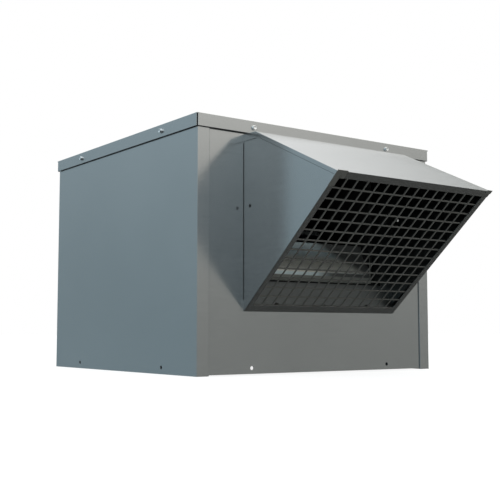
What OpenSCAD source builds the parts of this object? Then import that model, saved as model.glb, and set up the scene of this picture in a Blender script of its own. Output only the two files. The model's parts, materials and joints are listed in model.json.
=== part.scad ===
// Roof vent fan: a sheet steel housing with a lift-off lid, a screened weather hood
// and a direct drive double inlet blower that discharges into the hood.
// X is the width, the hood faces -Y and Z is up.
// The origin is the centre of the open base, level with the bottom of the skirt.

/* [Housing] */
// Width outside the side panels
body_w = 616; // [600:1:700]
// Depth outside the corner flanges
body_d = 616; // [606:1:700]
// Overall height to the top of the lid
body_h = 494; // [486:1:560]
// Thickness of the housing sheet
sheet_t = 1.2; // [1:0.1:1.4]
// Width of the corner flanges of the side panels
corner_w = 27.3; // [20:0.1:34]
// Thickness of a corner flange with its hem
hem_t = 2.4; // [2:0.1:3]
// Height of the front and rear panels above the bottom edge
panel_rise = 1.75; // [1:0.05:3]
// Width of the flanges under the lid
top_flange_w = 22; // [16:1:28]
// Gap between lapped sheets
lap_gap = 0.1; // [0.05:0.05:0.3]

/* [Lid] */
// Overhang of the lid past the panels
lid_over = 4.4; // [3:0.1:7]
// Height of the lid's skirt
skirt_h = 25; // [22:1:30]
// Gap between two skirt flaps at a corner
flap_gap = 1.2; // [0.6:0.1:2]
// Thickness of the foam strip under the lid
lid_foam_t = 3.3; // [2:0.1:5]
// Width of the foam strip under the lid
lid_foam_w = 20; // [12:1:20]
// Distance of the lid screws below the lid's top
lid_screw_drop = 13; // [12:1:16]
// Distance between the two lid screws of a side
lid_screw_span = 360; // [300:1:400]

/* [Base] */
// Diameter of the holes for the curb screws
base_hole_d = 7.2; // [6:0.1:8]
// Distance between the two curb holes of a side
base_hole_span = 360; // [300:1:400]
// Height of the curb holes
base_hole_h = 13; // [11:0.5:15]
// Width of a side rail, from the side panel towards the roof curb
side_rail_w = 19.3; // [16:0.1:22]
// Height of the ledge that rests on the curb
seat_h = 28.5; // [24:0.5:34]
// Thickness of rails and ledges
seat_t = 1.5; // [1.2:0.1:2.5]
// Width of the ledge
seat_w = 25; // [20:1:30]
// Height of the seat angle's upright leg
seat_leg_h = 30; // [20:1:40]
// Thickness of the foam strip on the curb
curb_foam_t = 4.5; // [3:0.5:6]

/* [Hood] */
// Width of the hood
hood_w = 402; // [380:1:420]
// Gap between the lid's skirt and the hood
hood_gap = 3; // [1.5:0.5:6]
// Length of the hood's level part
hood_level = 38; // [30:1:50]
// Fall of the level part
hood_fall = 0.5; // [0:0.1:2]
// Reach of the hood in front of the housing
hood_reach = 272; // [250:1:290]
// Height of the hood's tip below its top
hood_drop = 110; // [95:1:120]
// Height of the hood's lower edge
hood_low = 123.5; // [110:0.5:140]
// Width of the screen flange at the sides
screen_side_w = 14; // [12:0.5:15]
// Width of the screen flange at the tip and the sill
screen_end_w = 15.5; // [14:0.5:17]
// Depth of the folded band on the sloping edge
hood_band = 8; // [5:0.5:12]
// Depth of the folded tab at the level part
hood_tab = 14; // [10:1:20]
// Height of the hood's wall flange under its top
hood_wall_h = 18; // [15:1:22]
// Width of the wall flange of a hood side
hood_wall_w = 13; // [10:1:16]
// Height of the sill's upright leg
sill_leg_h = 18; // [15:1:24]
// Length of the bent tab beside a hood side
side_tab_w = 5; // [3:0.5:7]
// Diameter of the open hole in a hood side
hood_hole_d = 5; // [3:0.5:8]
// Distance of that hole from the housing
hood_hole_out = 18.3; // [15:0.1:30]
// Height of that hole
hood_hole_h = 323.5; // [300:0.5:350]
// Width of the left plate on the upper screen corners, along the tip
corner_plate_w = 24; // [18:1:30]
// Length of both plates down the screen
corner_plate_l = 33.5; // [26:0.5:40]
// Height of those plates above the hood's tip
corner_proud = 2.5; // [1:0.5:3]

/* [Birdscreen] */
// Pitch of the screen's bars
mesh_pitch = 25.4; // [20:0.1:30]
// Width of a bar
mesh_bar = 3.2; // [2.4:0.1:4]
// Thickness of the screen
mesh_t = 2.4; // [1.6:0.1:3]
// Rim of the screen outside its last bars
mesh_rim = 1; // [0.5:0.5:2]

/* [Front opening] */
// Width of the opening in the front panel
opening_w = 330; // [322:1:336]
// Height of the opening's lower edge
opening_low = 181; // [176:1:186]
// Distance of the opening's upper edge below the lid's top
opening_drop = 59; // [57:1:65]
// Depth of the flanges round the opening
opening_flange = 26.5; // [20:0.5:32]
// Corner relief of those flanges
opening_relief = 9; // [6:1:12]

/* [Blower housing] */
// Height of the fan's axis
axis_z = 250; // [246:1:254]
// Distance of the fan's axis behind the housing's middle
axis_y = 30; // [20:1:45]
// Step from the opening's side to the blower's side plate
mouth_step = 4; // [3:0.5:6]
// Step from the opening's top to the top of the blower
mouth_top_step = 2; // [1:0.5:4]
// Step from the opening's lower edge to the mouth's strip
mouth_low_step = 6; // [4:0.5:8]
// Height of the strip along the mouth's lower edge
mouth_strip = 12; // [9:0.5:15]
// Width of the mouth's flange outside the side plates
mouth_flange = 15; // [11:0.5:18]
// Thickness of the mouth's foam seal
seal_t = 2; // [1.5:0.5:4]
// Distance of the seal's edge from the opening's side
seal_show = 3; // [2:0.5:3]
// Gap between the wheel and the tongue
tongue_gap = 20.5; // [16:0.5:24]
// Angle of the tongue above the axis
tongue_angle = 16.1; // [12:0.1:18]
// Set back of the cutoff plate's top
cutoff_back = 25; // [15:1:35]
// Height of the cutoff plate's upright part
cutoff_rise = 71; // [60:1:76]
// Height of the tongue strip
strip_h = 8; // [6:0.5:10]
// Thickness of the tongue strip
strip_t = 3; // [2:0.5:4]
// Height of the tongue strip above the cutoff plate's end
strip_up = 16.5; // [14:0.5:20]
// Radius of the inlet's throat
throat_r = 96; // [92:0.5:97]
// Radius of the inlet's bell
bell_r = 10; // [8:0.5:12]
// Width of the inlet ring's flange
bell_flange = 7; // [5:0.5:9]
// Gap between an inlet ring and the wheel
inlet_gap = 3; // [2:0.5:5]

/* [Blower support] */
// Height of the blower rails
rail_h = 25; // [20:1:30]
// Width of the blower rails
rail_w = 40; // [34:1:46]
// Thickness of rails and foot angles
rail_t = 2; // [1.5:0.5:3]
// Gap between the side plate and a blower rail
rail_gap = 4; // [2:0.5:8]
// Length of the foot angles
foot_l = 330; // [300:1:340]
// Height of the foot angles
foot_h = 32; // [28:1:36]
// Height of a rubber isolator
isolator_h = 20; // [15:1:22]
// Diameter of a rubber isolator
isolator_d = 30; // [24:1:32]
// Distance between the isolators of a side
isolator_span = 280; // [240:1:300]
// Diameter of the isolator bolts
isolator_bolt_d = 8; // [6:1:8]

/* [Wheel] */
// Outside diameter of the blades
wheel_d = 240; // [230:1:246]
// Width of the wheel over its end rings
wheel_w = 280; // [260:1:290]
// Number of blades
blade_count = 43; // [31:1:47]
// Depth of a blade from edge to edge
blade_depth = 19; // [16:0.5:20]
// Sweep of a blade in degrees
blade_sweep = 9; // [6:0.5:11]
// Thickness of a blade
blade_t = 0.9; // [0.6:0.1:1.2]
// Thickness of the blade strip's edge bands
band_t = 1.2; // [0.8:0.1:2]
// Thickness of the end rings
ring_t = 1.5; // [1:0.1:2]
// Thickness of the centre plate
centre_t = 2; // [1.6:0.1:3]
// Diameter of the hub
hub_d = 34; // [30:1:40]
// Length of the hub
hub_l = 29; // [24:1:36]
// Diameter of the hub's flange
hub_flange_d = 76; // [60:1:90]
// Thickness of the hub's flange
hub_flange_t = 3; // [2:0.5:4]
// Diameter of the hub's set screw
set_screw_d = 6.7; // [5:0.1:8]

/* [Motor] */
// Outside diameter of the motor
motor_d = 140; // [130:1:144]
// Length of the motor's shell
motor_l = 120; // [112:1:130]
// Distance that the motor's shell stands outside the side plate
motor_out = 19; // [16:1:24]
// Thickness of the motor's shell
shell_t = 2.5; // [2:0.1:3]
// Thickness of the end bells
bell_t = 6; // [5:0.5:8]
// Diameter of the bearing bosses
boss_d = 44; // [40:1:50]
// Depth of the bearing bosses
boss_l = 14; // [13:0.5:16]
// Outside diameter of the bearings
bearing_d = 32; // [28:1:34]
// Length of the bearings
bearing_l = 11.8; // [10:0.1:12]
// Diameter of the shaft
shaft_d = 12.7; // [11:0.1:14]
// Running gap between the shaft and a bearing, on the radius
shaft_gap = 0.05; // [0.02:0.01:0.08]
// Diameter of the rotor
rotor_d = 72; // [68:1:74]
// Length of the rotor and stator
core_l = 50; // [40:1:54]
// Air gap of the motor, on the radius
air_gap = 0.5; // [0.4:0.1:1]
// Length of the windings' end turns
turns_l = 17; // [12:1:18]
// Width of the band round the motor
motor_band_w = 14; // [12:1:18]
// Thickness of the band round the motor
motor_band_t = 2; // [1.5:0.5:3]
// Width of a motor arm
arm_w = 22; // [18:1:26]
// Thickness of a motor arm
arm_t = 3; // [2:0.5:4]
// Distance of an arm's bolt from the axis
arm_r = 128; // [124:1:132]
// Thickness of an arm's grommet
grommet_t = 8.5; // [7:0.5:10]
// Diameter of an arm's grommet
grommet_d = 18; // [15:1:20]
// Diameter of an arm's bolt
arm_bolt_d = 6; // [5:0.5:6]

/* [Electrical] */
// Width and height of the junction box
box_w = 100; // [90:1:110]
// Depth of the junction box
box_d = 68; // [66:1:74]
// Thickness of the junction box and its cover
box_t = 1.6; // [1.2:0.1:2]
// Height of the junction box's middle
box_z = 250; // [240:1:260]
// Place of the junction box's middle along the depth
box_y = -100; // [-110:1:-90]
// Height of the switch
switch_h = 38; // [34:1:44]
// Width of the switch
switch_w = 24; // [20:1:28]
// Depth of the switch
switch_d = 25; // [24:1:30]
// Depth of the lever's pin behind the cover
pivot_in = 9; // [8:0.5:10]
// Radius of the lever's boss
lever_boss_r = 4; // [3.5:0.1:4.5]
// Width of the lever's boss
lever_boss_w = 6; // [5:0.1:7]
// Length of the lever from its pin
lever_l = 28; // [24:1:32]
// Radius of the lever's tip
lever_r = 3.2; // [2.8:0.1:3.6]
// Angle of the lever either side of its middle
lever_tilt = 12; // [8:1:14]
// Radius of the lever's pin
lever_pin_r = 1.5; // [1.2:0.1:1.8]
// Diameter of the motor cable
cable_d = 8; // [7:0.5:9]
// Gap between the cable and a gland's bore, on the radius
cable_gap = 0.3; // [0.2:0.1:0.5]
// Length of a gland's dome
gland_l = 14; // [10:1:18]
// Height of the cable's gland above the fan's axis
gland_up = 45; // [38:1:50]
// Height of that cable's gland above the middle of the junction box
box_gland_up = 31; // [26:0.5:34]
// Distance of the cable's gland on the junction box from the left panel
box_gland_in = 31; // [28:0.5:34]
// Bore of the supply conduit's connector
conduit_bore_d = 16; // [14:0.5:18]
// Length of the supply conduit's connector
conduit_l = 30; // [24:1:36]
// Diameter of the capacitor
capacitor_d = 44; // [40:1:48]
// Height of the capacitor
capacitor_h = 90; // [70:1:100]
// Place of the capacitor along the depth
capacitor_y = 110; // [90:1:130]

/* [Screws] */
// Diameter of the sheet metal screws
screw_d = 4.8; // [4.2:0.1:5]
// Length of the sheet metal screws
screw_l = 12; // [10:1:16]
// Diameter of their washer faces
screw_washer_d = 10.4; // [9:0.1:11]
// Width of their hexagon heads across the flats
screw_hex = 8; // [7:0.1:8.5]
// Thickness of their washer faces
screw_face_t = 1; // [0.8:0.1:1.2]
// Height of their heads above the sheet
screw_head_h = 4.2; // [3.6:0.1:5]
// Gap between a screw and its hole, on the radius
screw_gap = 0.15; // [0.1:0.05:0.3]

/* [Hidden] */

// Round pieces
$fn = 64;
// Cutters run this far past the face that they cut
over = 1;
// Seating gap between separate pieces
seat_gap = 0.2;

// Half sizes and heights of the housing
half_w = body_w / 2;
half_d = body_d / 2;
inner_x = half_w - sheet_t;
top_z = body_h - sheet_t - lid_foam_t;
panel_x = inner_x - seat_gap;
wall_y = -(half_d - hem_t - lap_gap);
lid_x = half_w + lid_over;
lid_y = half_d + lid_over;
lid_screw_z = body_h - lid_screw_drop;
flange_y = wall_y + top_flange_w;

// Base
rail_x = inner_x - side_rail_w;
ledge_x = rail_x - seat_w;
seat_top = seat_h + seat_t;
seat_y = -wall_y - sheet_t;
ledge_y = seat_y - seat_w;

// Hood profile, as points of depth and height
hood_x = hood_w / 2;
hood_z = body_h - skirt_h - hood_gap;
ridge = [-half_d - hood_level, hood_z - hood_fall];
tip = [-half_d - hood_reach, hood_z - hood_drop];
sill = [-half_d, hood_low];
screen_l = norm(tip - sill);
screen_u = (tip - sill) / screen_l;
screen_n = [screen_u[1], -screen_u[0]];
screen_slope = atan2(screen_u[1], -screen_u[0]);
slope_u = (tip - ridge) / norm(tip - ridge);
slope_n = [-slope_u[1], slope_u[0]];
level_n = [0, -1];
hood_foot = [wall_y, hood_low - (wall_y + half_d) * screen_u[1] / -screen_u[0]];
side_in = sheet_t + lap_gap;
hood_screw_x = hood_w * 0.3;
sill_screw_up = 11;

// Mesh layout
mesh_cols = floor((hood_w - screen_side_w) / mesh_pitch);
mesh_rows = floor((screen_l - screen_end_w) / mesh_pitch);
mesh_hole = mesh_pitch - mesh_bar;

// Blower housing
opening_x = opening_w / 2;
opening_top = body_h - opening_drop;
scroll_x = opening_x - mouth_step;
scroll_in = scroll_x - sheet_t;
mouth_y = wall_y + opening_flange + seal_t;
mouth_back = mouth_y + sheet_t;
mouth_low = opening_low + mouth_low_step;
mouth_top = opening_top - mouth_top_step;
strip_top = mouth_low + mouth_strip;
wheel_r = wheel_d / 2;
tip_r = wheel_r + tongue_gap;
end_r = mouth_top - sheet_t - axis_z;
start_a = 180 - tongue_angle;
end_a = 450;
scroll_steps = 40;
tongue = [axis_y + (tip_r + sheet_t) * cos(start_a), axis_z + (tip_r + sheet_t) * sin(start_a)];
inlet_r = throat_r + bell_r + seat_gap;

// Blower support
rail_top = seat_top + rail_h;
foot_z = rail_top + isolator_h;
blower_rail_x = scroll_x + rail_gap;
isolator_x = blower_rail_x + rail_w / 2;
isolator_hex = 13;
isolator_hole_d = isolator_bolt_d + 4 * screw_gap;
nut_h = 6.5;
washer_t = 1.6;
bolt_end = 2;

// Wheel and motor
blade_in_r = wheel_r - blade_depth;
blade_end = wheel_w / 2 - ring_t;
ring_lip = 1.5;
motor_r = motor_d / 2;
shaft_r = shaft_d / 2;
motor_x0 = -(scroll_x + motor_out);
motor_x1 = motor_x0 + motor_l;
motor_mid = (motor_x0 + motor_x1) / 2;
shell_in_r = motor_r - shell_t;
stator_in_r = rotor_d / 2 + air_gap;
turns_step_in = 3;
turns_step_out = 5;
turns_in_r = stator_in_r + turns_step_in;
turns_out_r = shell_in_r - turns_step_out;
shaft_end_gap = 3;
shaft_hub_step = 2;
bell_hole_gap = 1.2;
band_out_r = motor_r + seat_gap + motor_band_t;
arm_x = -scroll_x - grommet_t;
band_x0 = arm_x - arm_t / 2 - motor_band_w / 2;
arm_end = 9;
arm_bolt_hex = 10;
arm_nut_h = 5;
arm_angles = [30, 150, 270];

// Electrical
box_x0 = -inner_x;
box_x1 = -inner_x + box_d;
pivot_x = box_x1 - pivot_in;
gland_hex = 20;
gland_neck_d = 14;
gland_neck_l = 8;
gland_base = 6;
gland_dome_d = 17;
conduit_wall = 2;
conduit_d = conduit_bore_d + 2 * conduit_wall;
conduit_in = 8;
conduit_play = 2.5;
slot_play = 1.5;
lever_play = 1;
cover_screw_in = 12;
cover_screw_d = 7;
cover_screw_h = 2;
boss_play = 1.2;
boss_side_gap = 0.4;
switch_wall = 8;
pin_in = 1;
strap_h = 20;
strap_t = 1.5;
strap_step = 2;
strap_ear = 12;
terminal_d = 5;
terminal_h = 9;
terminal_y = 8;
box_gland_y = box_y + box_w / 2;
box_gland_x = box_x0 + box_gland_in;
conduit_x = box_x1 - box_t - conduit_play - conduit_d / 2;
box_gland_z = box_z + box_gland_up;
motor_gland_x = motor_x0 - bell_t;
motor_gland_z = axis_z + gland_up;
capacitor_x = -inner_x + capacitor_d / 2 + strap_step;

// Finishes
steel = [0.5, 0.53, 0.54];
dark_steel = [0.28, 0.27, 0.25];
bright_steel = [0.72, 0.73, 0.74];
black_rubber = [0.06, 0.06, 0.06];

// A box between two corners
module plate(low, high) {
    translate(low) cube(high - low);
}

// A drawing of depth and height, extruded along the width
module across(x0, x1) {
    translate([x0, 0, 0]) rotate([90, 0, 90]) linear_extrude(x1 - x0) children();
}

// A round cut or rod along X, Y or Z from a point
module rod_x(x0, x1, y, z, d) {
    translate([x0, y, z]) rotate([0, 90, 0]) cylinder(d = d, h = x1 - x0);
}

module rod_y(y0, y1, x, z, d) {
    translate([x, y1, z]) rotate([90, 0, 0]) cylinder(d = d, h = y1 - y0);
}

module rod_z(z0, z1, x, y, d) {
    translate([x, y, z0]) cylinder(d = d, h = z1 - z0);
}

// A ring about the fan's axis, drawn as radius and place along X
module fan_ring() {
    translate([0, axis_y, axis_z]) rotate([0, 90, 0]) rotate_extrude() children();
}

// A point whose distances inwards from two edges through p are a and b
function meet(p, n1, a, n2, b) =
    let (c = n1 * n2, k = 1 - c * c)
    p + (a - b * c) / k * n1 + (b - a * c) / k * n2;

// A point of the screen plane: s up the slope from the sill, n inwards
function screen_point(s, n) = sill + s * screen_u + n * screen_n;

// A hexagon head screw along Z, with its washer face seated at z = 0
module screw() {
    cylinder(d = screw_washer_d, h = screw_face_t);
    cylinder(d = screw_hex / cos(30), h = screw_head_h, $fn = 6);
    translate([0, 0, -screw_l]) cylinder(d = screw_d, h = screw_l + screw_face_t);
}

// Screws on the four skirt flaps of the lid
module on_lid_screws() {
    for (m = [0, 1], s = [-lid_screw_span / 2, lid_screw_span / 2]) {
        mirror([0, m, 0]) translate([s, -lid_y, lid_screw_z]) rotate([90, 0, 0]) children();
        mirror([m, 0, 0]) translate([-lid_x, s, lid_screw_z]) rotate([0, -90, 0]) children();
    }
}

// Screws on the hood's wall flange and on its sill
module on_hood_screws() {
    for (x = [-hood_screw_x, 0, hood_screw_x], z = [hood_z - hood_wall_h / 2, hood_low + sill_screw_up])
        translate([x, wall_y - sheet_t, z]) rotate([90, 0, 0]) children();
}

module screw_hole() {
    translate([0, 0, -screw_l]) cylinder(d = screw_d + 2 * screw_gap, h = 2 * screw_l);
}

// Curb holes through the panels and the side rails
module base_holes() {
    for (m = [0, 1], s = [-base_hole_span / 2, base_hole_span / 2]) {
        mirror([0, m, 0]) rod_y(-half_d - over, wall_y + sheet_t + over, s, base_hole_h, base_hole_d);
        mirror([m, 0, 0]) rod_x(-half_w - over, -rail_x + seat_t + over, s, base_hole_h, base_hole_d);
    }
}

// Lid
module lid() {
    color(steel) difference() {
        union() {
            plate([-lid_x, -lid_y, body_h - sheet_t], [lid_x, lid_y, body_h]);
            for (m = [0, 1]) {
                mirror([m, 0, 0])
                    plate([-lid_x, -lid_y, body_h - skirt_h],
                          [-lid_x + sheet_t, lid_y, body_h - sheet_t / 2]);
                mirror([0, m, 0])
                    plate([-lid_x + sheet_t + flap_gap, -lid_y, body_h - skirt_h],
                          [lid_x - sheet_t - flap_gap, -lid_y + sheet_t, body_h - sheet_t / 2]);
            }
        }
        on_lid_screws() screw_hole();
    }
}

module lid_foam() {
    out_x = inner_x - over;
    out_y = -wall_y - over;
    color(black_rubber) difference() {
        plate([-out_x, -out_y, top_z], [out_x, out_y, top_z + lid_foam_t]);
        plate([-out_x + lid_foam_w, -out_y + lid_foam_w, top_z - over],
              [out_x - lid_foam_w, out_y - lid_foam_w, body_h]);
    }
}

module lid_screws() {
    color(bright_steel) on_lid_screws() screw();
}

// Housing panels
module side_panel() {
    color(steel) difference() {
        union() {
            plate([-half_w, -half_d, 0], [-inner_x, half_d, top_z]);
            for (m = [0, 1])
                mirror([0, m, 0]) plate([-half_w, -half_d, 0], [-half_w + corner_w, -half_d + hem_t, top_z]);
            plate([-half_w, flange_y + seat_gap, top_z - sheet_t],
                  [-inner_x + top_flange_w, -flange_y - seat_gap, top_z]);
        }
        base_holes();
        on_lid_screws() screw_hole();
    }
}

module left_side_panel() {
    side_panel();
}

module right_side_panel() {
    mirror([1, 0, 0]) side_panel();
}

module end_panel() {
    plate([-panel_x, wall_y, panel_rise], [panel_x, wall_y + sheet_t, top_z]);
    plate([-panel_x, wall_y, top_z - sheet_t], [panel_x, flange_y, top_z]);
}

module front_panel() {
    back_y = wall_y + opening_flange;
    short_x = opening_x - opening_relief;
    color(steel) difference() {
        union() {
            difference() {
                end_panel();
                plate([-opening_x, wall_y - over, opening_low],
                      [opening_x, wall_y + 2 * sheet_t, opening_top]);
            }
            for (m = [0, 1])
                mirror([m, 0, 0]) plate([opening_x, wall_y, opening_low + opening_relief],
                                        [opening_x + sheet_t, back_y, opening_top - opening_relief]);
            for (z = [opening_low - sheet_t, opening_top])
                plate([-short_x, wall_y, z], [short_x, back_y, z + sheet_t]);
        }
        base_holes();
        on_lid_screws() screw_hole();
        on_hood_screws() screw_hole();
    }
}

module rear_panel() {
    color(steel) difference() {
        mirror([0, 1, 0]) end_panel();
        base_holes();
        on_lid_screws() screw_hole();
    }
}

// Side rail: a channel that straddles the curb holes, with a ledge for the curb
module rail_channel() {
    x0 = -inner_x;
    x1 = -rail_x;
    difference() {
        plate([x0, -seat_y, 0], [x1, seat_y, seat_top]);
        plate([x0 + seat_t, -seat_y - over, -over], [x1 - seat_t, seat_y + over, seat_h]);
    }
    plate([x1 - over, -seat_y, seat_h], [-ledge_x, seat_y, seat_top]);
}

module left_base_rail() {
    color(dark_steel) difference() {
        rail_channel();
        base_holes();
    }
}

module right_base_rail() {
    mirror([1, 0, 0]) left_base_rail();
}

// Ledges along the front and rear panels
module front_seat_angle() {
    long_x = ledge_x - seat_gap;
    color(dark_steel) {
        plate([-long_x, -seat_y, seat_h], [long_x, -ledge_y, seat_top]);
        plate([-long_x, -seat_y, seat_h], [long_x, -seat_y + seat_t, seat_top + seat_leg_h]);
    }
}

module rear_seat_angle() {
    mirror([0, 1, 0]) front_seat_angle();
}

module curb_foam() {
    out_x = rail_x - seat_gap;
    out_y = seat_y - seat_gap;
    color(black_rubber) difference() {
        plate([-out_x, -out_y, seat_h - curb_foam_t], [out_x, out_y, seat_h]);
        plate([-ledge_x, -ledge_y, 0], [ledge_x, ledge_y, seat_h + over]);
    }
}

// Hood
module hood_top() {
    half_t = sheet_t / 2;
    band_low = ridge + hood_band * slope_n;
    band_run = (ridge[0] - band_low[0]) / slope_u[0];
    color(steel) difference() {
        union() {
            across(-hood_x, hood_x) polygon([
                [wall_y, hood_z - hood_wall_h],
                [wall_y, hood_z],
                ridge,
                tip,
                screen_point(screen_l - screen_end_w, 0),
                screen_point(screen_l - screen_end_w, sheet_t),
                meet(tip, screen_n, sheet_t, slope_n, sheet_t),
                meet(ridge, slope_n, sheet_t, level_n, sheet_t),
                [wall_y - sheet_t, hood_z - sheet_t],
                [wall_y - sheet_t, hood_z - hood_wall_h]
            ]);
            for (m = [0, 1]) mirror([m, 0, 0]) across(hood_x - sheet_t, hood_x) polygon([
                [wall_y - half_t, hood_z - hood_tab],
                [wall_y - half_t, hood_z - half_t],
                meet(ridge, slope_n, half_t, level_n, half_t),
                meet(tip, screen_n, half_t, slope_n, half_t),
                meet(tip, screen_n, half_t, slope_n, hood_band),
                band_low + band_run * slope_u,
                ridge - [0, hood_tab]
            ]);
        }
        on_hood_screws() screw_hole();
    }
}

module hood_side() {
    x0 = -hood_x + sheet_t;
    end_s = screen_l - screen_end_w - lap_gap;
    start_s = screen_end_w + seat_gap;
    leg_top = hood_low + sill_leg_h;
    color(steel) difference() {
        union() {
            across(x0, x0 + sheet_t) polygon([
                hood_foot,
                screen_point(end_s, 0),
                screen_point(end_s, side_in),
                meet(tip, screen_n, side_in, slope_n, side_in),
                meet(ridge, slope_n, side_in, level_n, side_in),
                [wall_y - side_in, hood_z - side_in],
                [wall_y - side_in, hood_z - hood_wall_h - lap_gap],
                [wall_y, hood_z - hood_wall_h - lap_gap]
            ]);
            across(x0, -hood_x + screen_side_w) polygon([
                screen_point(start_s, 0),
                screen_point(end_s, 0),
                screen_point(end_s, sheet_t),
                screen_point(start_s, sheet_t)
            ]);
            plate([x0, wall_y - sheet_t, leg_top + seat_gap],
                  [x0 + hood_wall_w, wall_y, hood_z - hood_wall_h - lap_gap]);
            plate([-hood_x - side_tab_w, wall_y - sheet_t, hood_low + seat_gap],
                  [x0 + sheet_t, wall_y, leg_top]);
        }
        rod_x(-hood_x - over, -hood_x + 3 * sheet_t, -half_d - hood_hole_out, hood_hole_h, hood_hole_d);
    }
}

module hood_left_side() {
    hood_side();
}

module hood_right_side() {
    mirror([1, 0, 0]) hood_side();
}

module hood_sill() {
    long_x = hood_x - 2 * sheet_t - seat_gap;
    leg_top = hood_low + sill_leg_h;
    color(steel) difference() {
        across(-long_x, long_x) polygon([
            hood_foot,
            screen_point(screen_end_w, 0),
            screen_point(screen_end_w, sheet_t),
            meet(hood_foot, screen_n, sheet_t, [-1, 0], sheet_t),
            [wall_y - sheet_t, leg_top],
            [wall_y, leg_top]
        ]);
        on_hood_screws() screw_hole();
    }
}

// Plate of a width and a length on the left upper corner of the screen
module corner_plate(w, l) {
    across(-hood_x, -hood_x + w) polygon([
        screen_point(screen_l - l, -sheet_t),
        screen_point(screen_l + corner_proud, -sheet_t),
        screen_point(screen_l + corner_proud, 0),
        screen_point(screen_l - l, 0)
    ]);
}

module hood_corner_plates() {
    color(dark_steel) {
        corner_plate(corner_plate_w, screen_end_w);
        for (m = [0, 1]) mirror([m, 0, 0]) corner_plate(screen_side_w, corner_plate_l);
    }
}

module birdscreen() {
    net_w = mesh_cols * mesh_pitch + mesh_bar + 2 * mesh_rim;
    net_l = mesh_rows * mesh_pitch + mesh_bar + 2 * mesh_rim;
    color(dark_steel) translate([0, sill[0], sill[1]]) rotate([180 - screen_slope, 0, 0])
        translate([0, screen_l / 2, -side_in - mesh_t]) linear_extrude(mesh_t) difference() {
            square([net_w, net_l], center = true);
            for (i = [0 : mesh_cols - 1], j = [0 : mesh_rows - 1])
                translate([(i - (mesh_cols - 1) / 2) * mesh_pitch, (j - (mesh_rows - 1) / 2) * mesh_pitch])
                    square(mesh_hole, center = true);
        }
}

module hood_screws() {
    color(bright_steel) on_hood_screws() screw();
}

// Blower housing
function scroll_r(a) = tip_r + (end_r - tip_r) * (a - start_a) / (end_a - start_a);
function scroll_point(a, out) = [axis_y, axis_z] + (scroll_r(a) + out) * [cos(a), sin(a)];
scroll_angles = [for (i = [0 : scroll_steps]) start_a + (end_a - start_a) * i / scroll_steps];

module scroll_wrap() {
    inside = [for (a = scroll_angles) scroll_point(a, 0)];
    outside = [for (i = [scroll_steps : -1 : 0]) scroll_point(scroll_angles[i], sheet_t)];
    mouth = [[mouth_back, mouth_top - sheet_t], [mouth_back, mouth_top]];
    color(bright_steel) across(-scroll_in, scroll_in) polygon(concat(inside, mouth, outside));
}

module scroll_plate() {
    color(bright_steel) difference() {
        across(-scroll_x, -scroll_in) difference() {
            union() {
                polygon([for (a = scroll_angles) scroll_point(a, sheet_t)]);
                translate([mouth_back, mouth_low]) square([axis_y - mouth_back, mouth_top - mouth_low]);
                translate([-foot_l / 2, foot_z]) square([foot_l, axis_z - foot_z]);
            }
            translate([axis_y, axis_z]) circle(r = inlet_r);
        }
        on_arm_bolts() cylinder(d = arm_bolt_d + 4 * screw_gap, h = 4 * grommet_t, center = true);
    }
}

module scroll_left_plate() {
    scroll_plate();
}

module scroll_right_plate() {
    mirror([1, 0, 0]) scroll_plate();
}

// The cutoff plate rises from the mouth's strip in a soft S and runs back to the tongue
module cutoff_plate() {
    steps = 14;
    first = [mouth_back, mouth_low];
    rise = [for (i = [0 : steps]) let (t = i / steps)
        [mouth_back + cutoff_back * (t - sin(360 * t) / (2 * PI)), strip_top + cutoff_rise * t]];
    last = tongue - [3 * seat_gap, 0];
    front = concat([first], rise, [last]);
    end = len(front) - 1;
    back = [for (i = [end : -1 : 0]) front[i] + [i == end ? 0 : sheet_t, i == 0 ? 0 : -sheet_t]];
    color(bright_steel) across(-scroll_in, scroll_in) polygon(concat(front, back));
}

module tongue_strip() {
    low = tongue[1] + strip_up;
    color(bright_steel) plate([-scroll_in, tongue[0] - strip_t, low], [scroll_in, tongue[0], low + strip_h]);
}

module mouth_frame() {
    out_x = scroll_x + mouth_flange;
    color(bright_steel) difference() {
        plate([-out_x, mouth_y, mouth_low - mouth_flange], [out_x, mouth_back, mouth_top + mouth_flange]);
        plate([-scroll_in, mouth_y - over, strip_top], [scroll_in, mouth_back + over, mouth_top - sheet_t]);
    }
}

module mouth_seal() {
    out_x = scroll_x + mouth_flange;
    in_x = opening_x - seal_show;
    color(black_rubber) difference() {
        plate([-out_x, mouth_y - seal_t, mouth_low - mouth_flange],
              [out_x, mouth_y, mouth_top + mouth_flange]);
        plate([-in_x, mouth_y - seal_t - over, mouth_low], [in_x, mouth_y + over, mouth_top]);
    }
}

module inlet_ring() {
    face = scroll_x + sheet_t;
    bell_x = face - bell_r;
    mid_r = throat_r + bell_r;
    throat_x = wheel_w / 2 + inlet_gap;
    arc = [for (i = [0 : 8]) 90 + 90 * i / 8];
    color(bright_steel) fan_ring() polygon(concat(
        [[mid_r + bell_flange, face]],
        [for (a = arc) [mid_r, bell_x] + bell_r * [cos(a), sin(a)]],
        [[throat_r, throat_x], [throat_r + sheet_t, throat_x]],
        [for (i = [8 : -1 : 0]) [mid_r, bell_x] + (bell_r - sheet_t) * [cos(arc[i]), sin(arc[i])]],
        [[mid_r + bell_flange, scroll_x]]
    ));
}

module left_inlet_ring() {
    mirror([1, 0, 0]) inlet_ring();
}

module right_inlet_ring() {
    inlet_ring();
}

// Blower support
module on_isolators() {
    for (y = [-1, 1]) translate([-isolator_x, y * isolator_span / 2, 0]) children();
}

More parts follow.
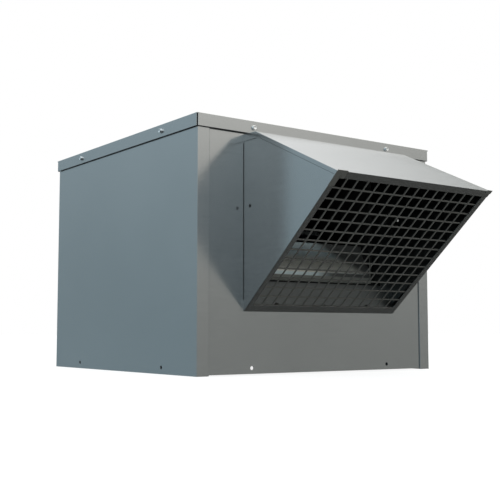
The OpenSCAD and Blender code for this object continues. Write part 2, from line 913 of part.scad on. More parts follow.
module blower_rail() {
    x0 = -blower_rail_x - rail_w;
    x1 = -blower_rail_x;
    long_y = seat_y - seat_t - seat_gap;
    color(dark_steel) difference() {
        plate([x0, -long_y, seat_top], [x1, long_y, rail_top]);
        plate([x0 + rail_t, -long_y - over, seat_top - over],
              [x1 - rail_t, long_y + over, rail_top - rail_t]);
        on_isolators() rod_z(seat_top, rail_top + over, 0, 0, isolator_hole_d);
    }
}

module left_blower_rail() {
    blower_rail();
}

module right_blower_rail() {
    mirror([1, 0, 0]) blower_rail();
}

module foot_angle() {
    color(dark_steel) difference() {
        union() {
            plate([-scroll_x - rail_t, -foot_l / 2, foot_z], [-scroll_x, foot_l / 2, foot_z + foot_h]);
            plate([-blower_rail_x - rail_w, -foot_l / 2, foot_z], [-scroll_x, foot_l / 2, foot_z + rail_t]);
        }
        on_isolators() rod_z(foot_z - over, foot_z + rail_t + over, 0, 0, isolator_hole_d);
    }
}

module left_foot_angle() {
    foot_angle();
}

module right_foot_angle() {
    mirror([1, 0, 0]) foot_angle();
}

module isolators() {
    color(black_rubber) for (m = [0, 1]) mirror([m, 0, 0]) on_isolators() difference() {
        rod_z(rail_top, foot_z, 0, 0, isolator_d);
        rod_z(rail_top - over, foot_z + over, 0, 0, isolator_hole_d);
    }
}

module isolator_bolts() {
    hex_d = isolator_hex / cos(30);
    head_z = foot_z + rail_t;
    nut_z = rail_top - rail_t;
    color(bright_steel) for (m = [0, 1]) mirror([m, 0, 0]) on_isolators() {
        rod_z(nut_z - nut_h - bolt_end, head_z + washer_t, 0, 0, isolator_bolt_d);
        rod_z(head_z, head_z + washer_t, 0, 0, 2 * isolator_bolt_d);
        translate([0, 0, head_z]) cylinder(d = hex_d, h = nut_h, $fn = 6);
        translate([0, 0, nut_z - nut_h]) cylinder(d = hex_d, h = nut_h, $fn = 6);
    }
}

// Wheel
module blade_outline() {
    steps = 6;
    radii = [for (i = [0 : steps]) blade_in_r + blade_depth * i / steps];
    angles = [for (i = [0 : steps]) blade_sweep * pow(i / steps, 2)];
    half_t = blade_t / 2 * 180 / PI;
    polygon(concat(
        [for (i = [0 : steps]) let (a = angles[i] - half_t / radii[i]) radii[i] * [cos(a), sin(a)]],
        [for (i = [steps : -1 : 0]) let (a = angles[i] + half_t / radii[i]) radii[i] * [cos(a), sin(a)]]
    ));
}

module band(x0) {
    fan_ring() translate([blade_in_r + ring_lip, x0]) square([blade_depth - 2 * ring_lip, band_t]);
}

module half_blades() {
    x0 = centre_t / 2;
    color(bright_steel) {
        across(x0, blade_end) translate([axis_y, axis_z])
            for (i = [0 : blade_count - 1]) rotate(360 * i / blade_count) blade_outline();
        band(x0);
        band(blade_end - band_t);
    }
}

module wheel_left_blades() {
    mirror([1, 0, 0]) half_blades();
}

module wheel_right_blades() {
    half_blades();
}

module wheel_centre_plate() {
    color(bright_steel) fan_ring()
        translate([shaft_r + seat_gap, -centre_t / 2]) square([wheel_r - shaft_r - seat_gap, centre_t]);
}

module wheel_ring() {
    color(bright_steel) fan_ring()
        translate([blade_in_r - ring_lip, blade_end]) square([blade_depth + 2 * ring_lip, ring_t]);
}

module wheel_left_ring() {
    mirror([1, 0, 0]) wheel_ring();
}

module wheel_right_ring() {
    wheel_ring();
}

module set_screw_cut(d, from_r) {
    x = centre_t / 2 + hub_l * 0.6;
    rod_z(axis_z + from_r, axis_z + hub_d / 2 + (d > set_screw_d ? over : 0), x, axis_y, d);
}

module wheel_hub() {
    x0 = centre_t / 2;
    color(bright_steel) difference() {
        union() {
            rod_x(x0, x0 + hub_flange_t, axis_y, axis_z, hub_flange_d);
            rod_x(x0, x0 + hub_l, axis_y, axis_z, hub_d);
        }
        rod_x(x0 - over, x0 + hub_l + over, axis_y, axis_z, shaft_d + 2 * shaft_gap);
        set_screw_cut(set_screw_d + 2 * shaft_gap, 0);
    }
}

module hub_set_screw() {
    color(dark_steel) set_screw_cut(set_screw_d, shaft_r + shaft_gap);
}

// Motor
module motor_shaft() {
    x1 = centre_t / 2 + hub_l - shaft_hub_step;
    color(bright_steel) rod_x(motor_x0 + shaft_end_gap, x1, axis_y, axis_z, shaft_d);
}

module rotor_core() {
    color(dark_steel) fan_ring()
        translate([shaft_r + shaft_gap, motor_mid - core_l / 2])
            square([rotor_d / 2 - shaft_r - shaft_gap, core_l]);
}

module stator_core() {
    color(dark_steel) fan_ring()
        translate([stator_in_r, motor_mid - core_l / 2])
            square([shell_in_r - seat_gap - stator_in_r, core_l]);
}

module stator_windings() {
    c = 4;
    w = turns_out_r - turns_in_r;
    color([0.6, 0.3, 0.15]) for (m = [-1, 1])
        fan_ring() translate([turns_in_r, motor_mid + m * (core_l / 2 + turns_l / 2 + seat_gap)])
            polygon([[0, -turns_l / 2], [w, -turns_l / 2], [w, turns_l / 2 - c], [w - c, turns_l / 2],
                     [c, turns_l / 2], [0, turns_l / 2 - c]]);
}

module motor_shell() {
    color(black_rubber) fan_ring() translate([shell_in_r, motor_x0]) square([shell_t, motor_l]);
}

// An end bell with its bearing pocket, seated on the shell's end at x = 0
module end_bell(shaft_hole_r) {
    pocket = boss_l - bearing_l - seat_gap;
    difference() {
        union() {
            translate([-bell_t, 0, 0]) rotate([0, 90, 0]) cylinder(r = motor_r, h = bell_t);
            rotate([0, 90, 0]) cylinder(d = boss_d, h = boss_l);
        }
        translate([pocket, 0, 0]) rotate([0, 90, 0]) cylinder(d = bearing_d + shaft_gap, h = boss_l);
        if (shaft_hole_r > 0)
            translate([-bell_t - over, 0, 0]) rotate([0, 90, 0])
                cylinder(r = shaft_hole_r, h = bell_t + boss_l);
    }
}

module motor_drive_bell() {
    color(dark_steel) translate([motor_x1, axis_y, axis_z]) mirror([1, 0, 0])
        end_bell(shaft_r + bell_hole_gap);
}

module motor_rear_bell() {
    color(dark_steel) difference() {
        translate([motor_x0, axis_y, axis_z]) end_bell(0);
        rod_x(motor_gland_x - over, motor_x0 + over, axis_y, motor_gland_z, gland_neck_d + seat_gap);
    }
}

module motor_bearings() {
    color(bright_steel) for (x = [motor_x0 + boss_l - bearing_l, motor_x1 - boss_l])
        fan_ring() translate([shaft_r + shaft_gap, x])
            square([bearing_d / 2 - shaft_r - shaft_gap, bearing_l]);
}

module motor_band() {
    color(bright_steel) fan_ring()
        translate([motor_r + seat_gap, band_x0]) square([motor_band_t, motor_band_w]);
}

// Places on the left side plate where the motor arms are bolted, with Z along -X
module on_arm_bolts() {
    for (a = arm_angles)
        translate([-scroll_x, axis_y + arm_r * cos(a), axis_z + arm_r * sin(a)])
            rotate([0, -90, 0]) children();
}

module motor_arms() {
    root_r = band_out_r + seat_gap;
    color(bright_steel) difference() {
        for (a = arm_angles) translate([0, axis_y, axis_z]) rotate([a, 0, 0]) {
            plate([arm_x - arm_t, root_r, -arm_w / 2], [arm_x, arm_r + arm_end, arm_w / 2]);
            plate([band_x0, root_r, -arm_w / 2], [band_x0 + motor_band_w, root_r + arm_t, arm_w / 2]);
        }
        on_arm_bolts() cylinder(d = arm_bolt_d + 2 * screw_gap, h = 4 * grommet_t);
    }
}

module arm_grommets() {
    color(black_rubber) on_arm_bolts() difference() {
        cylinder(d = grommet_d, h = grommet_t);
        translate([0, 0, -over]) cylinder(d = arm_bolt_d + 2 * screw_gap, h = 2 * grommet_t);
    }
}

module arm_bolts() {
    hex_d = arm_bolt_hex / cos(30);
    head = grommet_t + arm_t;
    nut = -sheet_t - arm_nut_h;
    color(dark_steel) on_arm_bolts() {
        translate([0, 0, nut - bolt_end]) cylinder(d = arm_bolt_d, h = head - nut + bolt_end + washer_t);
        translate([0, 0, head]) cylinder(d = 2 * arm_bolt_d, h = washer_t);
        translate([0, 0, head]) cylinder(d = hex_d, h = arm_nut_h, $fn = 6);
        translate([0, 0, nut]) cylinder(d = hex_d, h = arm_nut_h, $fn = 6);
    }
}

// Junction box with a disconnect switch, of five plates that are spot welded along their edges
module junction_box() {
    half = box_w / 2;
    mid = [0, box_y, box_z];
    wall_x = box_x0 + box_t + seat_gap;
    side_z = half - box_t - seat_gap;
    color(bright_steel) difference() {
        union() {
            plate(mid + [box_x0, -half, -half], mid + [box_x0 + box_t, half, half]);
            for (z = [-half, half - box_t])
                plate(mid + [wall_x, -half, z], mid + [box_x1, half, z + box_t]);
            for (y = [-half, half - box_t])
                plate(mid + [wall_x, y, -side_z], mid + [box_x1, y + box_t, side_z]);
        }
        rod_y(box_gland_y - 2 * box_t, box_gland_y + over, box_gland_x, box_gland_z, gland_neck_d + seat_gap);
        rod_z(box_z - half - over, box_z - half + 2 * box_t, conduit_x, box_y, conduit_d + seat_gap);
    }
}

module junction_box_cover() {
    slot_h = 2 * ((pivot_in + box_t) * sin(lever_tilt) + lever_r + slot_play);
    slot_w = 2 * (lever_r + lever_play);
    color(bright_steel) {
        difference() {
            plate([box_x1, box_y - box_w / 2, box_z - box_w / 2],
                  [box_x1 + box_t, box_y + box_w / 2, box_z + box_w / 2]);
            plate([box_x1 - over, box_y - slot_w / 2, box_z - slot_h / 2],
                  [box_x1 + box_t + over, box_y + slot_w / 2, box_z + slot_h / 2]);
        }
        for (s = [-1, 1])
            rod_x(box_x1 + box_t, box_x1 + box_t + cover_screw_h,
                  box_y, box_z + s * (box_w / 2 - cover_screw_in), cover_screw_d);
    }
}

module switch_body() {
    x1 = box_x1 - seat_gap;
    hollow_r = lever_boss_r + boss_play;
    hollow_w = lever_boss_w + 2 * boss_side_gap;
    hollow_h = switch_h - 2 * switch_wall;
    pin_w = switch_w - 2 * pin_in;
    color([0.12, 0.12, 0.13]) {
        difference() {
            plate([x1 - switch_d, box_y - switch_w / 2, box_z - switch_h / 2],
                  [x1, box_y + switch_w / 2, box_z + switch_h / 2]);
            plate([pivot_x - hollow_r, box_y - hollow_w / 2, box_z - hollow_h / 2],
                  [x1 + over, box_y + hollow_w / 2, box_z + hollow_h / 2]);
        }
        rod_y(box_y - pin_w / 2, box_y + pin_w / 2, pivot_x, box_z, 2 * lever_pin_r);
    }
}

module switch_lever() {
    color([0.75, 0.75, 0.76]) translate([pivot_x, box_y, box_z]) rotate([0, -lever_tilt, 0]) difference() {
        union() {
            rotate([90, 0, 0]) cylinder(r = lever_boss_r, h = lever_boss_w, center = true);
            rotate([0, 90, 0]) cylinder(r1 = lever_r * 0.7, r2 = lever_r, h = lever_l);
            translate([lever_l, 0, 0]) sphere(r = lever_r);
        }
        rotate([90, 0, 0]) cylinder(r = lever_pin_r + shaft_gap, h = 2 * lever_boss_w, center = true);
    }
}

// A cable gland along Z, with its seat at z = 0 and its neck below
module gland() {
    difference() {
        union() {
            cylinder(d = gland_hex / cos(30), h = gland_base, $fn = 6);
            cylinder(d = gland_dome_d, h = gland_l);
            translate([0, 0, -gland_neck_l]) cylinder(d = gland_neck_d, h = gland_neck_l + over);
        }
        translate([0, 0, -gland_neck_l - over]) cylinder(d = cable_d + 2 * cable_gap, h = 3 * gland_l);
    }
}

module cable_fittings() {
    low = box_z - box_w / 2;
    color([0.35, 0.35, 0.36]) {
        translate([motor_gland_x, axis_y, motor_gland_z]) rotate([0, -90, 0]) gland();
        translate([box_gland_x, box_gland_y, box_gland_z]) rotate([-90, 0, 0]) gland();
        difference() {
            union() {
                rod_z(low - conduit_l + conduit_in, low, conduit_x, box_y, conduit_d + 3 * conduit_wall);
                rod_z(low - over, low + conduit_in, conduit_x, box_y, conduit_d);
            }
            rod_z(low - conduit_l, low + conduit_in + over, conduit_x, box_y, conduit_bore_d);
        }
    }
}

// The motor's cable, from the gland on its rear bell to the gland on the junction box
cable_in = 8;
cable_route = [
    [motor_gland_x - gland_l + cable_in, axis_y, motor_gland_z],
    [motor_gland_x - gland_l - 8, axis_y, motor_gland_z],
    [motor_gland_x - 34, axis_y + 3, motor_gland_z - 1],
    [motor_gland_x - 60, axis_y + 2, motor_gland_z - 4],
    [box_gland_x + 10, axis_y - 8, motor_gland_z - 8],
    [box_gland_x + 1, axis_y - 26, box_gland_z + 2],
    [box_gland_x, box_gland_y + gland_l + 8, box_gland_z],
    [box_gland_x, box_gland_y + gland_l - cable_in, box_gland_z]
];

function spline(p, i, t) =
    let (a = p[max(i - 1, 0)], b = p[i], c = p[i + 1], d = p[min(i + 2, len(p) - 1)])
    0.5 * (2 * b + (c - a) * t + (2 * a - 5 * b + 4 * c - d) * t * t + (3 * b - a - 3 * c + d) * t * t * t);

// A tube of eight sides along a route
module tube(route, d) {
    sides = 8;
    each_run = 3;
    line = concat([for (i = [0 : len(route) - 2], k = [0 : each_run - 1]) spline(route, i, k / each_run)],
                  [route[len(route) - 1]]);
    last = len(line) - 1;
    points = [for (i = [0 : last])
        let (go = line[min(i + 1, last)] - line[max(i - 1, 0)],
             side = cross(go, [0, 0, 1]) / norm(cross(go, [0, 0, 1])),
             up = cross(side, go) / norm(cross(side, go)))
        for (k = [0 : sides - 1])
            line[i] + d / 2 * (cos(360 * k / sides) * side + sin(360 * k / sides) * up)];
    walls = [for (i = [0 : last - 1], k = [0 : sides - 1])
        let (a = i * sides + k, b = i * sides + (k + 1) % sides)
        each [[a, b, a + sides], [b, b + sides, a + sides]]];
    caps = [[for (k = [sides - 1 : -1 : 0]) k], [for (k = [0 : sides - 1]) last * sides + k]];
    polyhedron(points, concat(walls, caps));
}

module motor_cable() {
    color(black_rubber) tube(cable_route, cable_d);
}

// The run capacitor stands in a strap on the left panel
module capacitor() {
    z0 = box_z - capacitor_h / 2;
    z1 = z0 + capacitor_h;
    ear_y = capacitor_d / 2 + strap_ear;
    color([0.65, 0.66, 0.68]) {
        rod_z(z0, z1, capacitor_x, capacitor_y, capacitor_d);
        for (y = [-terminal_y, terminal_y])
            rod_z(z1 - over, z1 + terminal_h, capacitor_x, capacitor_y + y, terminal_d);
        plate([-inner_x, capacitor_y - ear_y, box_z - strap_h / 2],
              [capacitor_x - capacitor_d / 2 + over, capacitor_y + ear_y, box_z + strap_h / 2]);
        rod_z(box_z - strap_h / 2, box_z + strap_h / 2, capacitor_x, capacitor_y, capacitor_d + 2 * strap_t);
    }
}

lid();
lid_foam();
lid_screws();
left_side_panel();
right_side_panel();
front_panel();
rear_panel();
left_base_rail();
right_base_rail();
front_seat_angle();
rear_seat_angle();
curb_foam();
hood_top();
hood_left_side();
hood_right_side();
hood_sill();
hood_corner_plates();
birdscreen();
hood_screws();
scroll_wrap();
scroll_left_plate();
scroll_right_plate();
cutoff_plate();
tongue_strip();
mouth_frame();
mouth_seal();
left_inlet_ring();
right_inlet_ring();
left_blower_rail();
right_blower_rail();
left_foot_angle();
right_foot_angle();
isolators();
isolator_bolts();
wheel_centre_plate();
wheel_left_blades();
wheel_right_blades();
wheel_left_ring();
wheel_right_ring();
wheel_hub();
hub_set_screw();
motor_shaft();
rotor_core();
motor_shell();
motor_drive_bell();
motor_rear_bell();
stator_core();
stator_windings();
motor_bearings();
motor_band();
motor_arms();
arm_grommets();
arm_bolts();
junction_box();
junction_box_cover();
switch_body();
switch_lever();
cable_fittings();
motor_cable();
capacitor();
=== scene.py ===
# Roof vent fan: finishes, rounded sheets, fasteners, screen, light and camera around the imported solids
import json
import math

import bpy
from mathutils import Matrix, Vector


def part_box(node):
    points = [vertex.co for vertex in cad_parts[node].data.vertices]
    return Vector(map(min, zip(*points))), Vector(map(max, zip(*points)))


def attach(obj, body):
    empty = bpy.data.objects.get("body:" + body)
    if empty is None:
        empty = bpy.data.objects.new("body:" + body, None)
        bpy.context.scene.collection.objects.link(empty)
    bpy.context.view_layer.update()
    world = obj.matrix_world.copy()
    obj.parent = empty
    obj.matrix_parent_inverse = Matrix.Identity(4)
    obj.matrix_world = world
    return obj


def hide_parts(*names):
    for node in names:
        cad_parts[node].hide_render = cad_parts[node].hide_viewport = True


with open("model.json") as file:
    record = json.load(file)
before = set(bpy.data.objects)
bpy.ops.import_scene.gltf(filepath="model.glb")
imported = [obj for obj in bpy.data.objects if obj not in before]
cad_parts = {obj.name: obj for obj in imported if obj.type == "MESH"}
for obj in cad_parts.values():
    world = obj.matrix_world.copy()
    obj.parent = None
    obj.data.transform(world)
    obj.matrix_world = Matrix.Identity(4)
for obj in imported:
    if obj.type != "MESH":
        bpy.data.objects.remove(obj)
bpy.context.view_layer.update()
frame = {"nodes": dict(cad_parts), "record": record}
nodes = frame["nodes"]
behaviour = frame["record"]["behaviour"]
bodyOf = {node: body for body, members in behaviour["bodies"].items() for node in members}
slotOf = {row["node"]: row["material_slot"] for row in frame["record"]["subparts"]}
fanAxis = Vector(behaviour["joints"][0]["pos_m"])
print("frame loaded:", len(nodes), "nodes")

# Camera

shot = {
    "place": (-1.2213, -1.7262, 0.0847),
    "turn": (1.6592, 0, -0.6304),
    "lens": 65.49,
    "sensor": 36,
    "nearest": 0.01,
}
cameraData = bpy.data.cameras.new("photoCamera")
cameraData.lens = shot["lens"]
cameraData.sensor_width = shot["sensor"]
cameraData.clip_start = shot["nearest"]
camera = bpy.data.objects.new("photoCamera", cameraData)
camera.location = shot["place"]
camera.rotation_euler = shot["turn"]
bpy.context.scene.collection.objects.link(camera)
bpy.context.scene.camera = camera
bpy.context.scene.view_settings.view_transform = "Standard"


# Shader nodes written as sums

class Wire:  # one output socket, with the sums that are used on it
    def __init__(self, recipe, socket):
        self.recipe, self.socket = recipe, socket

    def maths(self, operation, *values):
        return self.recipe.add("ShaderNodeMath", {"operation": operation}, dict(enumerate(values)))

    def __add__(self, other):
        return self.maths("ADD", self, other)

    def __radd__(self, other):
        return self.maths("ADD", other, self)

    def __sub__(self, other):
        return self.maths("SUBTRACT", self, other)

    def __rsub__(self, other):
        return self.maths("SUBTRACT", other, self)

    def __mul__(self, other):
        return self.maths("MULTIPLY", self, other)

    def __truediv__(self, other):
        return self.maths("DIVIDE", self, other)

    def over(self, limit, soft):  # 0 below the limit, 1 above it, with a soft step
        return self.recipe.add("ShaderNodeMapRange", {"interpolation_type": "SMOOTHSTEP"}, {
            "Value": self, "From Min": limit - soft, "From Max": limit + soft, "To Min": 0.0, "To Max": 1.0})


class Recipe:  # one material, or the world, and its nodes
    def __init__(self, name, owner=None):
        self.material = owner or bpy.data.materials.new(name)
        self.material.use_nodes = True
        self.tree = self.material.node_tree
        self.shader = self.tree.nodes["Background" if owner else "Principled BSDF"]
        self.spot = self.add("ShaderNodeTexCoord", output="Generated" if owner else "Object")

    def add(self, kind, settings=None, inputs=None, output=0):
        node = self.tree.nodes.new(kind)
        for key, value in (settings or {}).items():
            setattr(node, key, value)
        for key, value in (inputs or {}).items():
            self.feed(node.inputs[key], value)
        return Wire(self, node.outputs[output])

    def feed(self, socket, value):
        if isinstance(value, Wire):
            self.tree.links.new(value.socket, socket)
        elif isinstance(value, (tuple, list)) and len(value) == 3 and socket.type == "RGBA":
            socket.default_value = (*value, 1)
        else:
            socket.default_value = value

    def finish(self, **inputs):
        for key, value in inputs.items():
            self.feed(self.shader.inputs[key.replace("_", " ")], value)
        return self.material

    def split(self, vector):  # a vector's X, Y and Z
        x = self.add("ShaderNodeSeparateXYZ", {}, {"Vector": vector}, "X")
        return x, *(Wire(self, x.socket.node.outputs[axis]) for axis in ("Y", "Z"))

    def noise(self, scale, detail=2.0, rough=0.5, stretch=(1, 1, 1)):
        spot = self.add("ShaderNodeMapping", {}, {"Vector": self.spot, "Scale": stretch})
        return self.add("ShaderNodeTexNoise", {}, {
            "Vector": spot, "Scale": scale, "Detail": detail, "Roughness": rough})

    def cells(self, scale, output="Distance"):
        return self.add("ShaderNodeTexVoronoi", {}, {"Vector": self.spot, "Scale": scale}, output)

    def waves(self, direction, scale, **bending):
        return self.add("ShaderNodeTexWave", {"bands_direction": direction, "wave_profile": "SIN"}, {
            "Vector": self.spot, "Scale": scale, **bending})

    def mix(self, factor, low, high):
        return self.add("ShaderNodeMix", {"data_type": "RGBA"}, {0: factor, 6: low, 7: high}, 2)

    def bump(self, height, strength, distance):
        return self.add("ShaderNodeBump", {}, {"Height": height, "Strength": strength, "Distance": distance})


def shaded(colour, share, lift=0.0):  # the colour times a share, plus a lift
    return tuple(c * share + lift for c in colour)


# Where the painted shade lies: the hood's inside, the blower's inside and the mouth frame

hoodSpace = {
    "halfWidth": 0.1990, "soft": 0.0001, "darkestAbove": 0.185, "fade": 0.02,
    "planes": [  # screen, slope, level part of the top: Y and Z of a point and of the way in, and a distance
        (-0.3080, 0.1235, 0.6498, 0.7602, 0.0010),
        (-0.3460, 0.4655, 0.4238, -0.9057, 0.0009),
        (-0.3060, 0.4660, 0.0, -1.0, 0.0015),
    ],
}
scrollSpace = {
    "halfWidth": 0.1607, "sideSoft": 0.0001, "frontEdge": -0.2740, "edgeSoft": 0.0003,
    "axis": (0.030, 0.250), "outward": 0.001, "outwardSoft": 0.0005,
}
# Painted shade on the mouth frame is darkest above this height
mouthShadeLevels = {"darkestAbove": 0.235, "fade": 0.03}


def withinHood(r):  # the hood's inner surfaces, which get painted shade, and how dark it is: darkest higher up
    x, y, z = r.split(r.spot)
    inside = 1.0 - x.maths("ABSOLUTE", x).over(hoodSpace["halfWidth"], hoodSpace["soft"])
    for py, pz, ny, nz, start in hoodSpace["planes"]:
        inside = inside * ((y - py) * ny + (z - pz) * nz).over(start, hoodSpace["soft"])
    return inside, z.over(hoodSpace["darkestAbove"], hoodSpace["fade"])


def withinScroll(r):  # painted shade on the blower's inside: between its side plates and facing its axis, and on the plates' front edges
    x, y, z = r.split(r.spot)
    facing = r.split(r.add("ShaderNodeTexCoord", output="Normal"))
    axisY, axisZ = scrollSpace["axis"]
    outward = facing[1] * (y - axisY) + facing[2] * (z - axisZ)
    behind = y.over(scrollSpace["frontEdge"], scrollSpace["edgeSoft"])
    beside = x.maths("ABSOLUTE", x).over(scrollSpace["halfWidth"], scrollSpace["sideSoft"])
    away = outward.over(scrollSpace["outward"], scrollSpace["outwardSoft"])
    return (1.0 - behind * beside) * (1.0 - behind * away), 1.0


def overMouth(r):  # painted shade all over the mouth frame, darkest above its lowest band
    return 1.0, r.split(r.spot)[2].over(mouthShadeLevels["darkestAbove"], mouthShadeLevels["fade"])


# Kinds of finish

sheetGrain = {
    "broad": 3.5, "fine": 22.0, "stretch": (1, 1, 14), "broadTone": 0.5, "fineTone": 0.3,
    "broadGloss": 0.10, "fineGloss": 0.12, "bump": 0.25, "relief": 0.0004,
}


def sheetSteel(name, steel, paintedShade=None):  # galvanised sheet, with painted shade where one is given
    r = Recipe(name)
    spangle, metal = steel["spangle"], steel["metal"]
    flakes = r.add("ShaderNodeSeparateColor", {}, {"Color": r.cells(spangle["scale"], "Color")})
    broad = r.noise(sheetGrain["broad"], 3.0)
    fine = r.noise(sheetGrain["fine"], 4.0, 0.6, sheetGrain["stretch"])
    tone = broad * sheetGrain["broadTone"] + fine * sheetGrain["fineTone"] + flakes * spangle["depth"]
    colour = r.mix(tone - 0.5 * spangle["depth"], steel["dark"], steel["light"])
    gloss = (broad - 0.5) * sheetGrain["broadGloss"] + (fine - 0.5) * sheetGrain["fineGloss"]
    gloss = gloss + (flakes - 0.5) * spangle["gloss"] + steel["rough"]
    # Painted shade: a darker colour, with its own gloss and metal, where the mask lies, and darkest where it
    # is deep
    if paintedShade:
        inShade, deepShade = paintedShade["where"](r)
        colour = r.mix(inShade, colour, r.mix(deepShade, paintedShade["light"], paintedShade["dark"]))
        gloss = inShade * (paintedShade["rough"] - steel["rough"]) + gloss
        metal = inShade * (paintedShade["metal"] - metal) + metal
    return r.finish(
        Base_Color=colour, Metallic=metal, Roughness=gloss,
        Normal=r.bump(broad, sheetGrain["bump"], sheetGrain["relief"]))


cutoff = {
    "foot": 0.045, "top": 0.262, "slope": 1.75, "soft": 0.022,  # the slanting line that the painted shade lies beyond
    "lowEnd": 0.030, "lowEndSoft": 0.030, "lowTop": 0.2065, "lowSoft": 0.002,
    "upper": 0.240, "upperSoft": 0.008,
    # warm and cool are painted reflection colours; stain is both the colour of random stains and of the
    # painted shade
    "warm": (0.88, 0.86, 0.78), "cool": (0.84, 0.97, 1.0), "stain": (0.16, 0.16, 0.155),
    "clouds": 6.0, "drawn": 30.0, "stretch": (14, 1, 1), "cloudStain": 0.18,
    "metal": 0.42, "rough": 0.30, "stainRough": 0.2, "uneven": 0.1,
}


def cutoffSheet():  # painted reflections in cool bands above and below a warm one, random stains, and painted shade beyond a slanting line
    r = Recipe("cutoffSheet")
    x, z = r.split(r.spot)[::2]
    low = 1.0 - z.over(cutoff["lowTop"], cutoff["lowSoft"])
    clouds, drawn = r.noise(cutoff["clouds"], 3.0), r.noise(cutoff["drawn"], 4.0, 0.6, cutoff["stretch"])
    # Painted reflection: cool bands low and high on the plate, warm between them
    colour = r.mix(low + z.over(cutoff["upper"], cutoff["upperSoft"]), cutoff["warm"], cutoff["cool"])
    spots = (clouds * 0.6 + drawn * 0.4).over(0.5, 0.3)
    colour = r.mix(spots * cutoff["cloudStain"], colour, cutoff["stain"])
    # Painted shade beyond the slanting line and at the low band's right end, in the stain colour and with
    # stainRough added to its roughness; the cloud spots above are random stains
    beyond = (x - (cutoff["top"] - z) * cutoff["slope"] - cutoff["foot"]).over(0.0, cutoff["soft"])
    shadowed = beyond.maths("MAXIMUM", beyond, x.over(cutoff["lowEnd"], cutoff["lowEndSoft"]) * low)
    return r.finish(
        Base_Color=r.mix(shadowed, colour, cutoff["stain"]), Metallic=cutoff["metal"],
        Roughness=shadowed * cutoff["stainRough"] + (clouds - 0.5) * cutoff["uneven"] + cutoff["rough"],
        Normal=r.bump(clouds, sheetGrain["bump"], sheetGrain["relief"]))


coating = {"ripple": 420.0, "smudge": 14.0, "shade": 0.72, "uneven": 0.2, "relief": 0.0002}


def paint(name, colour, rough, metal=0.0, peel=0.35, coat=0.0):
    r = Recipe(name)
    ripple = r.noise(coating["ripple"])
    smudge = r.noise(coating["smudge"], 3.0)
    return r.finish(
        Base_Color=r.mix(smudge, shaded(colour, coating["shade"]), colour), Metallic=metal, Coat_Weight=coat,
        Roughness=(smudge - 0.5) * coating["uneven"] + rough, Normal=r.bump(ripple, peel, coating["relief"]))


sponge = {
    "pores": 900.0, "holes": 160.0, "from": 0.35, "soft": 0.3, "shade": 0.3, "rough": 0.95,
    "bump": 0.8, "relief": 0.0006,
}


def foam(name, colour):
    r = Recipe(name)
    pores = r.cells(sponge["pores"])
    holes = r.noise(sponge["holes"], 3.0)
    walls = pores.over(sponge["from"], sponge["soft"])
    return r.finish(
        Base_Color=r.mix(walls, shaded(colour, sponge["shade"]), colour),
        Roughness=sponge["rough"], Normal=r.bump(pores + holes * 0.5, sponge["bump"], sponge["relief"]))


moulding = {
    "bloom": 60.0, "from": 0.55, "soft": 0.25, "pale": 1.9, "lift": 0.004, "uneven": 0.15,
    "pebble": 1500.0, "bump": 0.3, "relief": 0.0002,
}


def rubber(name, colour, rough):
    r = Recipe(name)
    bloom = r.noise(moulding["bloom"], 3.0)
    pebble = r.noise(moulding["pebble"])
    grey = shaded(colour, moulding["pale"], moulding["lift"])
    return r.finish(
        Base_Color=r.mix(bloom.over(moulding["from"], moulding["soft"]), colour, grey),
        Roughness=(bloom - 0.5) * moulding["uneven"] + rough,
        Normal=r.bump(pebble, moulding["bump"], moulding["relief"]))


turning = {
    "stain": 45.0, "scratch": 300.0, "stretch": (6, 1, 1), "shade": 0.8,
    "stainRough": 0.15, "scratchRough": 0.12, "bump": 0.15, "relief": 0.0001,
}


def turnedMetal(name, colour, rough):
    r = Recipe(name)
    stain = r.noise(turning["stain"], 3.0)
    scratch = r.noise(turning["scratch"], 3.0, 0.6, turning["stretch"])
    gloss = (stain - 0.5) * turning["stainRough"] + (scratch - 0.5) * turning["scratchRough"] + rough
    return r.finish(
        Base_Color=r.mix(stain, shaded(colour, turning["shade"]), colour), Metallic=1.0, Roughness=gloss,
        Normal=r.bump(scratch, turning["bump"], turning["relief"]))


stack = {
    "leaves": 300.0, "bend": 0.4, "shade": 0.5, "metal": 0.9, "rough": 0.45, "bump": 0.5, "relief": 0.0003,
}


def laminations(name, colour):
    r = Recipe(name)
    leaves = r.waves("X", stack["leaves"], Distortion=stack["bend"])
    return r.finish(
        Base_Color=r.mix(leaves, shaded(colour, stack["shade"]), colour), Metallic=stack["metal"],
        Roughness=stack["rough"], Normal=r.bump(leaves, stack["bump"], stack["relief"]))


coil = {
    "strands": 160.0, "bend": 3.0, "fine": 2.0, "fineScale": 3.0, "shade": 0.25,
    "metal": 0.6, "rough": 0.35, "varnish": 0.3, "bump": 0.9, "relief": 0.0008,
}


def windings(name, colour):
    r = Recipe(name)
    strands = r.waves("DIAGONAL", coil["strands"], **{
        "Distortion": coil["bend"], "Detail": coil["fine"], "Detail Scale": coil["fineScale"]})
    return r.finish(
        Base_Color=r.mix(strands, shaded(colour, coil["shade"]), colour), Metallic=coil["metal"],
        Roughness=coil["rough"], Coat_Weight=coil["varnish"],
        Normal=r.bump(strands, coil["bump"], coil["relief"]))


# The finishes, by the record's slots, and those of single nodes

housing = {
    "dark": (0.40, 0.409, 0.412), "light": (0.504, 0.514, 0.517), "metal": 0.92, "rough": 0.22,
    "spangle": {"scale": 75.0, "depth": 0.04, "gloss": 0.01},
}
frontPanel = dict(housing, rough=0.17)
# Painted shade inside the hood, on its sheets and on the front panel there: a darker, duller sheet, darkest
# higher up
hoodShade = {
    "dark": (0.07, 0.075, 0.075), "light": (0.20, 0.21, 0.21), "rough": 0.42, "metal": 0.92,
    "where": withinHood,
}
blowerSteel = {
    "dark": (0.50, 0.505, 0.50), "light": (0.66, 0.665, 0.66), "metal": 0.75, "rough": 0.40,
    "spangle": {"scale": 70.0, "depth": 0.15, "gloss": 0.06},
}
